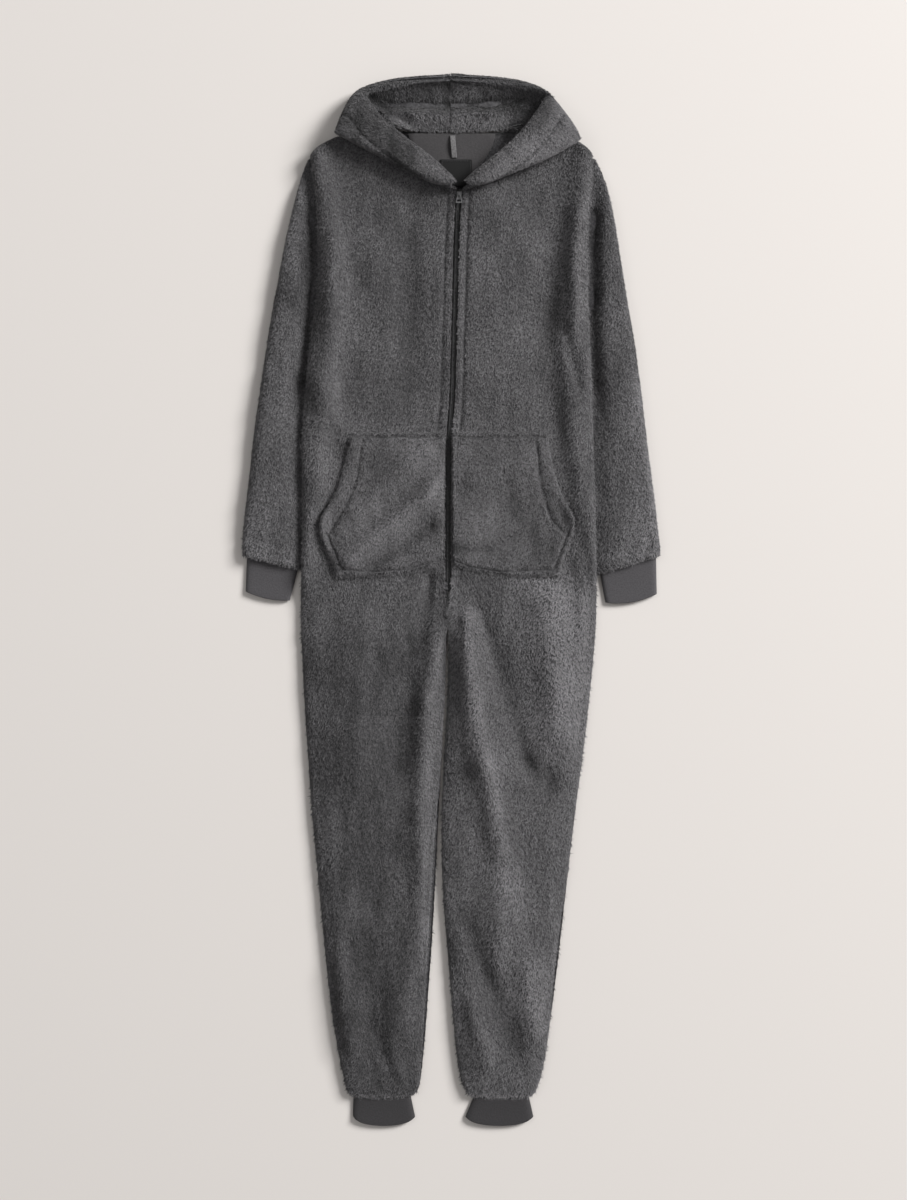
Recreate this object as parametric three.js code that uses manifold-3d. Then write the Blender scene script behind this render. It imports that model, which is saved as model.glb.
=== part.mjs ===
// A hooded plush-fleece onesie laid out flat on its back, face up, as worn by an adult.
// Millimetres, +Z up from the surface it lies on, +Y towards the hood.
// Right and left are the wearer's, so the right side is at -X and the left side at +X.
import * as THREE from 'three';
import Module from 'manifold-3d';

const wasm = await Module();
wasm.setup();

// Cloth, with its pile.
const FLEECE = 5.5;
const HOOD_FLEECE = 4;
const POCKET_FLEECE = 4.5;
const JERSEY = 2.4;
const FACING = 2;
const LABEL = 1;
const TAPE = 1;

// Spaces between the layers.
const SEAM_GAP = 0.3;
const AIR = 6;
const LAYER_CLEARANCE = 0.6;
const HOOD_CLEARANCE = 1;
const EDGE_WALL = 1.5;
const SIDE_ROUNDING = 6;

// The sleeve's inner edge lies under the side of the body.
const TUCK_HEIGHT = 2 * FLEECE + 0.8;
const TUCK_LIFT = TUCK_HEIGHT + LAYER_CLEARANCE;
const TUCK_RAMP = 24;

// The fronts rise over the facing and the label inside the V of the neck.
const NECK_LIFT = 4;
const NECK_CENTRE = { x: 8, y: 665 };

const ZIP_OPENING = 4.5;
const ZIP_BOTTOM = -8.5;
const CROTCH = -49;
const HEM = -771.5;
const CHAIN_WIDTH = 5.5;
const CHAIN_HEIGHT = 2.5;
const TAPE_WIDTH = 13;

const HOOD_FOLD_RADIUS = 12;
const CUFF_HEIGHT = 8;

const SIDES = {
  right: { sign: -1, wristDrop: 22, hemEnds: 11.2 },
  left: { sign: 1, wristDrop: 30, hemEnds: 8 },
};

const COLOURS = {
  fleece: 0x4c4b4d,
  jersey: 0x403f42,
  facing: 0x565458,
  label: 0x161617,
  zip: 0x1c1c1e,
  metal: 0x2a2a2c,
};

// A table with named columns: each row becomes an object.
function table(columns, rows) {
  const names = columns.split(' ');
  return rows.map((row) => Object.fromEntries(names.map((name, i) => [name, row[i]])));
}

// Distance of the sides of the body and legs from the middle, from the shoulder down to the hem.
const BODY_SIDES = table('y right left', [
  [730, 224, 224],
  [687, 218, 218],
  [593, 207, 211.5],
  [492, 204, 210],
  [444, 212, 211.5],
  [334, 225, 216],
  [213, 231, 219.5],
  [115, 229.5, 222.5],
  [-15, 233, 224],
  [-139, 228.5, 214.5],
  [-232, 222.5, 204],
  [-325, 216, 191.5],
  [-418, 207, 180.5],
  [-542, 196, 162],
  [-666, 181, 151],
  [-729, 169, 141],
  [-756, 162, 131],
  [-775, 153, 122],
]);

// The middle of the zip and of the seam below it.
const CENTRE_LINE = table('y x', [
  [740, 12],
  [630, 12],
  [600, 9],
  [466, 5.4],
  [311, 0.8],
  [249, -3.9],
  [156, -5.4],
  [-60, -5.4],
]);

// The inner edge of each leg: the back panel of the right leg shows a little past its front.
const INSEAMS = table('y right rightBack left', [
  [-49, -5.7, -5.7, -5.1],
  [-61, -7.3, -7.3, -4.6],
  [-92, -9, -9, -5],
  [-154, -10.8, -10.8, -6.5],
  [-232, -15.5, -15.5, -11],
  [-308, -21, -18.5, -15],
  [-396, -28.7, -22.5, -15.8],
  [-477, -33.3, -26.5, -12],
  [-588, -39.5, -34, -2],
  [-723, -47, -44, 10],
  [-756, -53, -51, 21],
  [-775, -63, -62, 34],
]);

// How far the back panel of the left leg shows past the front on its outer side.
const LEFT_PEEK = table('y out', [
  [-440, 0],
  [-500, 3.5],
  [-600, 4],
  [-690, 0],
]);

// The upper edge of the front, and of the back, from the middle to the armhole:
// share is the distance from the middle as a share of the half width.
const TOP_EDGE = table('share front back', [
  [0, 636, 724],
  [0.05, 643, 724],
  [0.1, 654, 724.5],
  [0.2, 675, 725],
  [0.3, 695, 726],
  [0.4, 716, 727],
  [0.46, 727, 728],
  [0.68, 722.5, 722.5],
  [0.82, 715, 715],
  [0.9, 706, 706],
  [0.96, 697, 697],
  [1, 687, 687],
]);

// The sleeve: distance of its outer edge from the middle, how far its inner edge lies under the body,
// the height of its crown, and the share of the wrist's slant.
const SLEEVES = table('y right left tuck crown slant', [
  [684, 222, 223, 8, 12.5, 0],
  [661, 232, 235, 10, 14, 0],
  [624, 242.5, 247, 12, 17, 0],
  [574, 255, 256.5, 15, 19.5, 0],
  [512, 267.5, 266, 20, 20.5, 0],
  [450, 278, 276.5, 30, 21.5, 0],
  [388, 287.5, 286, 34, 20, 0],
  [326, 297, 294, 32, 21.5, 0.08],
  [264, 306, 301.5, 28, 20, 0.18],
  [202, 312.5, 309, 20, 19, 0.3],
  [140, 320, 317, 12, 19.5, 0.5],
  [95, 324, 322, 4, 18, 0.8],
  [76, 324.7, 324, 2, 17, 0.95],
  [69, 324, 324, 1, 15, 1],
]);

// Soft folds of the fronts: ridges have a positive height and troughs a negative one.
const FOLDS = table('x1 y1 x2 y2 height width', [
  [-64, 605, -64, 326, -2.4, 22],
  [-181, 559, -188, 435, 3, 18],
  [-212, 342, -160, 250, 2.6, 18],
  [98, 481, 55, 435, 2.2, 22],
  [150, 559, 147, 280, -3.2, 17],
  [194, 605, 191, 435, 3.2, 14],
  [176, 419, 195, 326, -2.6, 13],
  [-160, 63, -20, 180, 4.2, 18],
  [-119, 52, -30, 120, -2.6, 15],
  [-150, 140, -41, 233, 3, 20],
  [44, 78, 98, 94, -2.2, 15],
  [36, 187, 114, 218, 2.4, 22],
  [-30, 35, -57, -77, -4.8, 14],
  [-70, -165, -82, -247, -4.4, 18],
  [-22, -50, -41, -154, 4.2, 13],
  [-41, -154, -49, -325, 4.4, 15],
  [-49, -325, -43, -557, 3.4, 15],
  [14, -92, 22, -154, -3.6, 10],
  [27, -30, 55, -247, 5.8, 16],
  [55, -247, 77, -387, 4.8, 17],
  [46, -15, 114, -247, -4, 16],
  [114, -247, 150, -278, -3, 15],
  [150, -10, 166, -200, 5.4, 32],
  [13, -480, 98, -681, -4.4, 16],
  [114, -557, 129, -650, 3, 20],
  [29, -619, 55, -712, 2.6, 14],
  [-118, -540, -112, -660, -3.2, 22],
  [-172, -557, -157, -681, 2.6, 16],
  [-150, -40, -148, -300, 2.6, 34],
  [80, -430, 70, -560, 2.8, 24],
  [-190, 342, 190, 345, -1.2, 8],
  [-220, -178, 200, -174, -1.3, 8],
]);

// The outer edge of each pocket as a distance from the middle.
const POCKET_SIDES = table('y right left', [
  [260, 152.5, 148],
  [213, 163.5, 155],
  [163, 178, 169],
  [122, 203, 190],
  [108, 203, 189],
  [82, 193, 178.5],
  [38, 177, 165],
]);
const POCKET_TOP = 259;
const POCKET_BOTTOM = 38;
const POCKET_RISE = 17;
const POCKET_BAND = 16;
const MOUTH_LIFT = 2.4;

// The hood from the zip round to the middle of its back.
// rim: the edge of the opening; fold: the outline; neck: the seam to the body;
// top: the height of the roll; droop: how far the rim hangs below it.
const HOOD_COLUMNS = 'rimX rimY foldX foldY neckX neckY top droop';
const RIGHT_HOOD = table(HOOD_COLUMNS, [
  [6, 645, -7, 636.5, 6, 634.5, 43, 5],
  [-8.5, 663.5, -30, 638.5, -13, 650, 45, 6],
  [-35, 686, -67.5, 656.5, -41, 672, 46, 7],
  [-63, 707, -105, 678, -64, 690.5, 46, 7],
  [-87.5, 726, -148, 700, -83, 709, 44.5, 7],
  [-105, 742, -181, 718.5, -93, 723, 41.5, 6.5],
  [-119, 760, -172, 748, -88, 728.5, 36.5, 5],
  [-131, 777, -158, 776, -74, 727.5, 30.5, 3],
  [-126, 784, -144, 793.5, -58, 726.5, 27, 2],
  [-90, 792, -92, 808, -41, 725.5, 25.5, 1.5],
  [-48, 797, -49, 811.5, -21, 725.2, 24.5, 1.5],
  [-1.8, 799.5, -1.8, 814, -1.8, 725, 24, 1.5],
]);
const LEFT_HOOD = table(HOOD_COLUMNS, [
  [18, 645, 30, 635.5, 18, 634.5, 43, 5],
  [37, 662, 60, 638.5, 40, 651, 45, 6],
  [69, 686, 100, 658, 70, 675, 46, 7],
  [97, 710, 145, 675, 87, 697, 46, 7],
  [120, 738, 180.5, 695, 99, 716, 44.5, 7],
  [132, 755, 200.5, 709, 101, 724, 41.5, 6.5],
  [141, 770, 185, 738.5, 91, 728.5, 36.5, 5],
  [148, 782, 165.5, 763, 76, 727.5, 30.5, 3],
  [134, 786, 149.5, 791, 58, 726.5, 27, 2],
  [92, 793, 106, 806, 40, 725.5, 25.5, 1.5],
  [42, 798, 52, 812, 20, 725.2, 24.5, 1.5],
  [-1.3, 799.5, -1.3, 814, -1.3, 725, 24, 1.5],
]);
// The soft roll of lining at the neck: steep above its crest, and falling gently to the seam.
const HOOD_ROLL = { y: 749, above: 10, below: 20, height: 10.5, reach: 62, fade: 34 };

// Half widths of the facing inside the neck.
const FACING_ROWS = table('y right left', [
  [722.5, 68, 68],
  [710, 64, 66],
  [698, 60, 60],
  [685, 48, 54],
  [672, 36, 42],
  [658, 22, 32],
  [647, 10, 24],
]);

// The pull is an open loop that widens away from its hinge.
const PULL = { length: 13, narrow: 5.6, wide: 10.5, thickness: 1.4, bar: 0.7, arm: 1.4, end: 1.8 };
const SLIDER = { y: 624, length: 12.4, top: 7.8, bottom: 6.2, height: 6.2, bridge: 2, bridgeOuter: 3.3 };

const clamp01 = (value) => Math.min(1, Math.max(0, value));
const lerp = (a, b, share) => a + (b - a) * share;
const smooth = (value) => {
  const share = clamp01(value);
  return share * share * (3 - 2 * share);
};

// A column of a table at a value of its first column, along a smooth curve through the rows.
function at(rows, value, column) {
  const key = Object.keys(rows[0])[0];
  const rising = rows[rows.length - 1][key] > rows[0][key];
  let i = 0;
  while (i < rows.length - 2 && (rising ? value > rows[i + 1][key] : value < rows[i + 1][key])) i++;
  const [before, start, end, after] = [i - 1, i, i + 1, i + 2].map(
    (index) => rows[Math.min(rows.length - 1, Math.max(0, index))],
  );
  const step = end[key] - start[key];
  const share = clamp01((value - start[key]) / step);
  const slope = (a, b) => (b[key] === a[key] ? 0 : (b[column] - a[column]) / (b[key] - a[key]));
  const chord = slope(start, end);
  const limited = (a, b) => {
    const other = slope(a, b);
    return other * chord <= 0 ? 0 : (2 * other * chord) / (other + chord);
  };
  const m1 = before === start ? chord : limited(before, start);
  const m2 = after === end ? chord : limited(end, after);
  const s2 = share * share;
  const s3 = s2 * share;
  return (
    (2 * s3 - 3 * s2 + 1) * start[column] +
    (s3 - 2 * s2 + share) * step * m1 +
    (3 * s2 - 2 * s3) * end[column] +
    (s3 - s2) * step * m2
  );
}

// One closed body from two grids of points of the same size, the outer face and the inner face.
// Where it wraps, the last column is followed by the first.
function sheetGeometry(outer, inner, wraps = false) {
  const rows = outer.length;
  const columns = outer[0].length;
  const positions = [...outer.flat(), ...inner.flat()].flatMap((p) => [p.x, p.y, p.z]);
  const faces = [];
  const id = (layer, row, column) => layer * rows * columns + row * columns + (column % columns);
  const quad = (a, b, c, d) => faces.push(a, b, c, a, c, d);
  const spans = wraps ? columns : columns - 1;
  for (let r = 0; r < rows - 1; r++)
    for (let c = 0; c < spans; c++) {
      quad(id(0, r, c), id(0, r, c + 1), id(0, r + 1, c + 1), id(0, r + 1, c));
      quad(id(1, r, c), id(1, r + 1, c), id(1, r + 1, c + 1), id(1, r, c + 1));
    }
  for (let c = 0; c < spans; c++) {
    quad(id(0, 0, c), id(1, 0, c), id(1, 0, c + 1), id(0, 0, c + 1));
    quad(id(0, rows - 1, c), id(0, rows - 1, c + 1), id(1, rows - 1, c + 1), id(1, rows - 1, c));
  }
  if (!wraps)
    for (let r = 0; r < rows - 1; r++) {
      quad(id(0, r, 0), id(0, r + 1, 0), id(1, r + 1, 0), id(1, r, 0));
      const last = columns - 1;
      quad(id(0, r, last), id(1, r, last), id(1, r + 1, last), id(0, r + 1, last));
    }
  const geometry = new THREE.BufferGeometry();
  geometry.setAttribute('position', new THREE.Float32BufferAttribute(positions, 3));
  geometry.setIndex(volumeOf(positions, faces) < 0 ? faces.reverse() : faces);
  geometry.computeVertexNormals();
  return geometry;
}

function volumeOf(positions, faces) {
  const point = (i) => new THREE.Vector3(...positions.slice(3 * i, 3 * i + 3));
  let volume = 0;
  for (let i = 0; i < faces.length; i += 3) {
    const [a, b, c] = [faces[i], faces[i + 1], faces[i + 2]].map(point);
    volume += a.dot(b.cross(c));
  }
  return volume;
}

const garment = new THREE.Group();
garment.name = 'hooded_onesie';

function addMesh(name, geometry, colour) {
  const material = new THREE.MeshStandardMaterial({ color: colour, roughness: 0.95 });
  const mesh = new THREE.Mesh(geometry, material);
  mesh.name = name;
  garment.add(mesh);
}

const sideX = (side, y) => SIDES[side].sign * at(BODY_SIDES, y, side);
const centreX = (y) => at(CENTRE_LINE, y, 'x');

// A quarter circle: 0 at an edge, 1 from one radius inside it.
const rounded = (distance, radius) => {
  const share = clamp01(distance / radius);
  return Math.sqrt(1 - (1 - share) * (1 - share));
};

// Height of the sleeve under the side of the body.
function tuckLift(side, x, y) {
  const inside = Math.abs(sideX(side, y)) - Math.abs(x);
  const tuck = at(SLEEVES, y, 'tuck');
  const across = smooth((tuck + 2 + TUCK_RAMP - inside) / TUCK_RAMP);
  const below = smooth((y - 2) / 38);
  const above = smooth((726 - y) / 34);
  return TUCK_LIFT * across * below * above;
}

function neckLift(x, y) {
  const distance = Math.hypot(x - NECK_CENTRE.x, y - NECK_CENTRE.y);
  return NECK_LIFT * smooth((95 - distance) / 50);
}

function foldHeight(x, y) {
  let height = 0;
  for (const fold of FOLDS) {
    const dx = fold.x2 - fold.x1;
    const dy = fold.y2 - fold.y1;
    const along = clamp01(((x - fold.x1) * dx + (y - fold.y1) * dy) / (dx * dx + dy * dy));
    const distance = Math.hypot(x - fold.x1 - along * dx, y - fold.y1 - along * dy);
    height += fold.height * Math.exp(-((distance / fold.width) ** 2));
  }
  const besideZip = smooth((Math.abs(x - centreX(y)) - 14) / 18);
  const belowZip = smooth((-15 - y) / 25);
  return Math.max(-AIR + 0.5, height) * Math.max(besideZip, belowZip);
}

// The face of the back panel that the front lies on.
const backTop = (side, x, y) => tuckLift(side, x, y) + FLEECE;

// The underside of the front, before its edges are closed.
function frontBottom(side, x, y) {
  const outside = Math.abs(sideX(side, y) - x);
  const inside = y < CROTCH ? Math.abs(x - inseamX(side, y, false)) : 99;
  const edge = smooth(Math.min(outside, inside, 770 + y) / 26);
  const air = SEAM_GAP + (AIR - SEAM_GAP + foldHeight(x, y)) * edge;
  return backTop(side, x, y) + Math.max(SEAM_GAP, air) + neckLift(x, y);
}

// The puffed edge beside the zip, with its stitched groove.
function zipRoll(x, y) {
  if (y < ZIP_BOTTOM) return 0;
  const distance = Math.abs(x - centreX(y)) - ZIP_OPENING;
  const roll = 0.8 * Math.exp(-(((distance - 4) / 4) ** 2));
  const groove = 1.4 * Math.exp(-(((distance - 11) / 3) ** 2));
  return roll - groove;
}

const frontTop = (side, x, y) => frontBottom(side, x, y) + FLEECE + zipRoll(x, y);

function inseamX(side, y, isBack) {
  if (side === 'left') return at(INSEAMS, y, 'left');
  return at(INSEAMS, y, isBack ? 'rightBack' : 'right');
}

// The inner edge of a panel: the zip opening, then the seam below it, then the inseam.
function innerX(side, y, isBack) {
  if (y < CROTCH) return inseamX(side, y, isBack);
  const opening = isBack ? 0 : lerp(SEAM_GAP, ZIP_OPENING, smooth((y - ZIP_BOTTOM + 8) / 10));
  return centreX(y) + SIDES[side].sign * Math.max(opening, SEAM_GAP);
}

function outerX(side, y, isBack) {
  const peek = isBack && side === 'left' && y < -440 ? at(LEFT_PEEK, y, 'out') : 0;
  return sideX(side, y) + SIDES[side].sign * peek;
}

// The hem of a leg at a share of its width: its ends are drawn up.
const hemY = (side, share) => HEM + SIDES[side].hemEnds * Math.abs(2 * share - 1) ** 5;

// Distances of the columns of a panel from its inner edge and from its outer edge.
const FRONT_COLUMNS = { inner: [0, 2.5, 7, 11, 15], middle: 5, outer: [60, 48, 36, 24, 12, 5, 0] };
const BACK_COLUMNS = { inner: [0, 5], middle: 2, outer: [60, 48, 36, 24, 12, 5, 0] };

function panelColumns(columns, width) {
  const scale = Math.min(1, width / 190);
  const inner = columns.inner.map((distance) => distance * scale);
  const outer = columns.outer.map((distance) => width - distance * scale);
  const from = inner[inner.length - 1];
  const middle = [];
  for (let i = 1; i <= columns.middle; i++) middle.push(lerp(from, outer[0], i / (columns.middle + 1)));
  return [...inner, ...middle, ...outer];
}

// Rows of a panel. The rows of the top follow its upper edge, and the rows of the hem its hem.
const TOP_SHARES = [0, 0.02, 0.07, 0.2, 0.42, 0.7];
const BACK_TOP_SHARES = [0, 0.05, 0.3, 0.65];
const TOP_ROWS_END = 600;
const HEM_ROWS_START = -735;
const HEM_SHARES = [0.5, 0.82, 0.95, 1];
const BACK_HEM_SHARES = [0.8, 1];
const FRONT_ROWS = [
  600, 555, 505, 455, 405, 350, 300, 250, 200, 150, 100, 65, 45, 30, 15, 0, -15, -30, -49, -65, -95,
  -130, -175, -220, -270, -330, -400, -480, -560, -630, -690, -735,
];
const BACK_ROWS = [
  600, 505, 455, 405, 350, 300, 200, 100, 65, 45, 30, 15, 0, -30, -49, -65, -130, -220, -330, -480, -630, -735,
];

function panelRows(isBack) {
  const rows = [];
  for (const share of isBack ? BACK_TOP_SHARES : TOP_SHARES) rows.push({ zone: 'top', share });
  for (const y of isBack ? BACK_ROWS : FRONT_ROWS) rows.push({ zone: 'body', y });
  for (const share of isBack ? BACK_HEM_SHARES : HEM_SHARES) rows.push({ zone: 'hem', share });
  return rows;
}

function panelGrid(side, isBack) {
  const columns = isBack ? BACK_COLUMNS : FRONT_COLUMNS;
  return panelRows(isBack).map((row) => {
    const count = columns.inner.length + columns.middle + columns.outer.length;
    return Array.from({ length: count }, (_, i) => panelPoint(side, isBack, columns, row, i));
  });
}

function panelPoint(side, isBack, columns, row, index) {
  const reference = row.zone === 'body' ? row.y : row.zone === 'top' ? 660 : -750;
  const sign = SIDES[side].sign;
  const widthAt = (y) => sign * (outerX(side, y, isBack) - innerX(side, y, isBack));
  const share = panelColumns(columns, widthAt(reference))[index] / widthAt(reference);
  let y = row.y;
  const top = at(TOP_EDGE, share, isBack ? 'back' : 'front');
  const hem = hemY(side, share);
  if (row.zone === 'top') y = lerp(top, TOP_ROWS_END, row.share);
  if (row.zone === 'hem') y = lerp(HEM_ROWS_START, hem, row.share);
  const width = widthAt(y);
  const across = panelColumns(columns, width)[index];
  const x = innerX(side, y, isBack) + sign * across;
  const innerEdge = y < CROTCH ? across : 99;
  const shoulder = share > 0.46 ? (top - y) * 0.9 : 99;
  const edge = Math.min(width - across, innerEdge + 6 * smooth((y + 90) / 45), shoulder, y - hem);
  return { x, y, edge };
}

function frontPanel(side) {
  const grid = panelGrid(side, false);
  const outer = grid.map((row) =>
    row.map(({ x, y, edge }) => {
      const thickness = EDGE_WALL + (FLEECE - EDGE_WALL) * rounded(edge, SIDE_ROUNDING);
      return { x, y, z: frontBottom(side, x, y) + thickness + zipRoll(x, y) };
    }),
  );
  const inner = grid.map((row) => row.map(({ x, y }) => ({ x, y, z: frontBottom(side, x, y) })));
  addMesh(`front_${side}`, sheetGeometry(outer, inner), COLOURS.fleece);
}

function backPanel(side) {
  const grid = panelGrid(side, true);
  const top = grid.map((row) => row.map(({ x, y }) => ({ x, y, z: backTop(side, x, y) })));
  const bottom = grid.map((row) =>
    row.map(({ x, y, edge }) => {
      const thickness = EDGE_WALL + (FLEECE - EDGE_WALL) * rounded(edge, SIDE_ROUNDING);
      return { x, y, z: backTop(side, x, y) - thickness };
    }),
  );
  addMesh(`back_${side}`, sheetGeometry(top, bottom), COLOURS.fleece);
}

// Shares of the width at the points of a flattened tube: over the top from the inner edge, then back under.
const SLEEVE_TOP = [0, 0.03, 0.1, 0.24, 0.36, 0.5, 0.66, 0.82, 0.94, 1];
const SLEEVE_UNDER = [0.96, 0.85, 0.5, 0.15, 0.04, 0];
const SLIT = 0.3;

function sleeveSection(side, y) {
  const sign = SIDES[side].sign;
  const slant = at(SLEEVES, y, 'slant') * SIDES[side].wristDrop;
  const innerY = y - slant;
  const edge = Math.abs(sideX(side, innerY));
  return {
    sign,
    y,
    innerY,
    inner: edge - at(SLEEVES, y, 'tuck'),
    outer: at(SLEEVES, y, side),
    edge,
    crown: at(SLEEVES, y, 'crown'),
  };
}

function sleeveRing(section, inset) {
  const from = section.inner + inset;
  const to = section.outer - inset;
  const width = to - from;
  const point = (share, isTop, lift) => {
    const across = from + share * width;
    const crown = smooth((across - section.edge - 3) / 24);
    const top = lerp(TUCK_HEIGHT, Math.max(TUCK_HEIGHT, section.crown), crown);
    const mid = lerp(TUCK_HEIGHT / 2, Math.max(TUCK_HEIGHT, section.crown) / 2, share);
    const nearest = Math.min(share, 1 - share) * width;
    const full = rounded(nearest, Math.max(0.6, mid - inset));
    const z = isTop ? mid + (top - inset - mid) * full : mid - (mid - inset) * full;
    const whole = (across - section.inner) / (section.outer - section.inner);
    return { x: section.sign * across, y: lerp(section.innerY, section.y, whole), z: z + lift };
  };
  const over = SLEEVE_TOP.map((share) => point(share, true, share === 0 ? SLIT / 2 : 0));
  const under = SLEEVE_UNDER.map((share) => point(share, false, share === 0 ? -SLIT / 2 : 0));
  return [...over, ...under];
}

const SLEEVE_ROWS = [
  684, 672, 650, 615, 575, 530, 485, 440, 395, 350, 305, 260, 215, 170, 130, 100, 82, 73, 69,
];

function sleeve(side) {
  const sections = SLEEVE_ROWS.map((y) => sleeveSection(side, y));
  const outer = sections.map((section) => sleeveRing(section, 0));
  const inner = sections.map((section) => sleeveRing(section, FLEECE));
  addMesh(`sleeve_${side}`, sheetGeometry(outer, inner), COLOURS.fleece);
}

// What the hood lies on: the fronts, or the surface beyond the shoulders.
function hoodFloor(side, x, y) {
  const share = Math.abs(x - centreX(700)) / 218;
  const edge = at(TOP_EDGE, Math.min(1, share), 'front');
  const onBody = smooth((edge + 24 - y) / 18);
  const below = Math.min(y, edge - 2);
  return onBody * (frontTop(side, x, below) + HOOD_CLEARANCE);
}

const hoodRoll = (x, y) => {
  const halfWidth = y > HOOD_ROLL.y ? HOOD_ROLL.above : HOOD_ROLL.below;
  const across = Math.exp(-(((y - HOOD_ROLL.y) / halfWidth) ** 2));
  const along = smooth((HOOD_ROLL.reach + HOOD_ROLL.fade - Math.abs(x)) / HOOD_ROLL.fade);
  return HOOD_ROLL.height * across * along;
};

const HOOD_OVER = [0, 0.3, 0.62, 1];
const HOOD_FOLD_ANGLES = [60, 30, 0, -30, -60];
const HOOD_UNDER = [0, 0.3, 0.53, 0.62, 0.71, 0.86, 1];

// One section of the hood, from the rim over the roll, round the fold and under it to the neck.
function hoodSection(side, row, inset, isLining) {
  const rim = new THREE.Vector2(row.rimX, row.rimY);
  const fold = new THREE.Vector2(row.foldX, row.foldY);
  const neck = new THREE.Vector2(row.neckX, row.neckY);
  const upper = fold.clone().sub(rim);
  const reach = upper.length();
  const lower = fold.clone().sub(neck).normalize();
  upper.normalize();
  const radius = Math.min(HOOD_FOLD_RADIUS, reach);
  const inner = radius - inset;
  const upperCentre = fold.clone().addScaledVector(upper, -radius);
  const lowerCentre = fold.clone().addScaledVector(lower, -radius);
  const floor = hoodFloor(side, lowerCentre.x, lowerCentre.y);
  const middle = (floor + row.top) / 2;
  const half = (row.top - floor) / 2 - inset;
  const over = HOOD_OVER.map((share) => {
    const place = rim.clone().lerp(upperCentre, share);
    const droop = row.droop * (1 - smooth((share * reach) / 16 + 0.05));
    return { x: place.x, y: place.y, z: row.top - inset - droop };
  });
  const round = HOOD_FOLD_ANGLES.map((degrees) => {
    const angle = THREE.MathUtils.degToRad(degrees);
    const isUpper = degrees >= 0;
    const centre = isUpper ? upperCentre : lowerCentre;
    const place = centre.clone().addScaledVector(isUpper ? upper : lower, inner * Math.cos(angle));
    return { x: place.x, y: place.y, z: middle + half * Math.sin(angle) };
  });
  const under = HOOD_UNDER.map((share) => {
    const place = lowerCentre.clone().lerp(neck, share);
    const roll = isLining ? hoodRoll(place.x, place.y) : 0;
    return { x: place.x, y: place.y, z: hoodFloor(side, place.x, place.y) + inset + roll };
  });
  return [...over, ...round, ...under];
}

// Rows between the rows of a hood table, along smooth curves.
function hoodRows(rows, perSpan) {
  const indexed = rows.map((row, index) => ({ index, ...row }));
  const columns = Object.keys(rows[0]);
  const result = [];
  for (let i = 0; i < rows.length - 1; i++) {
    const steps = perSpan[i] ?? 1;
    for (let k = 0; k < steps; k++) {
      const place = i + k / steps;
      result.push(Object.fromEntries(columns.map((column) => [column, at(indexed, place, column)])));
    }
  }
  result.push(rows[rows.length - 1]);
  return result;
}
const HOOD_STEPS = [1, 1, 1, 1, 1, 2, 2, 1, 1, 1, 1];

function hood(side, rows) {
  const sections = hoodRows(rows, HOOD_STEPS);
  const surface = (inset, isLining) =>
    sections.map((row) => hoodSection(side, row, inset, isLining));
  const lining = HOOD_FLEECE + SEAM_GAP;
  addMesh(
    `hood_outer_${side}`,
    sheetGeometry(surface(0, false), surface(HOOD_FLEECE, false)),
    COLOURS.fleece,
  );
  addMesh(
    `hood_lining_${side}`,
    sheetGeometry(surface(lining, true), surface(lining + HOOD_FLEECE, true)),
    COLOURS.fleece,
  );
}

// The highest point of the front near a place, so that what lies on it clears its faces.
function restOnFront(side, x, y, reach) {
  let height = 0;
  for (const dx of [-reach, 0, reach])
    for (const dy of [-reach, 0, reach]) height = Math.max(height, frontTop(side, x + dx, y + dy));
  return height;
}

const POCKET_REACH = 11;
const POCKET_ROWS = [0, 0.02, 0.08, 0.2, 0.33, 0.46, 0.57, 0.64, 0.72, 0.84, 0.94, 0.985, 1];
const POCKET_COLUMNS = { inner: [0, 3, 12], middle: 3, outer: [36, 21, 17, 12, 3, 0] };

function pocket(side) {
  const sign = SIDES[side].sign;
  const lower = [];
  const upper = [];
  for (const share of POCKET_ROWS) {
    const lowerRow = [];
    const upperRow = [];
    const count = POCKET_COLUMNS.inner.length + POCKET_COLUMNS.middle + POCKET_COLUMNS.outer.length;
    for (let i = 0; i < count; i++) {
      const columnShare = panelColumns(POCKET_COLUMNS, 190)[i] / 190;
      const bottom = POCKET_BOTTOM + POCKET_RISE * (1 - columnShare) ** 3;
      const y = lerp(POCKET_TOP, bottom, share);
      const inner = sign * innerX(side, y, false) + 2 + 3 * share;
      const outer = at(POCKET_SIDES, y, side);
      const across = panelColumns(POCKET_COLUMNS, outer - inner)[i];
      const x = sign * (inner + across);
      const fromOuter = outer - inner - across;
      const edge = Math.min(fromOuter, across + 2, POCKET_TOP - y, y - bottom);
      const isMouth = smooth((y - 118) / 14) * smooth((POCKET_TOP - y) / 30);
      const lift = MOUTH_LIFT * isMouth * smooth((40 - fromOuter) / 30);
      const groove = 1.1 * isMouth * Math.exp(-(((fromOuter - POCKET_BAND - 2) / 2.5) ** 2));
      const bed = restOnFront(side, x, y, POCKET_REACH) + LAYER_CLEARANCE + lift;
      const thickness = EDGE_WALL + (POCKET_FLEECE - EDGE_WALL) * rounded(edge, 5);
      lowerRow.push({ x, y, z: bed });
      upperRow.push({ x, y, z: bed + thickness - groove });
    }
    lower.push(lowerRow);
    upper.push(upperRow);
  }
  addMesh(`pocket_${side}`, sheetGeometry(upper, lower), COLOURS.fleece);
}

// A flattened knitted cuff, open at both ends, between an upper and a lower line.
const CUFF_SHARES = [0, 0.04, 0.15, 0.38, 0.62, 0.85, 0.96, 1];
const CUFF_ROWS = [0, 0.2, 0.6, 0.9, 1];

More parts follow.
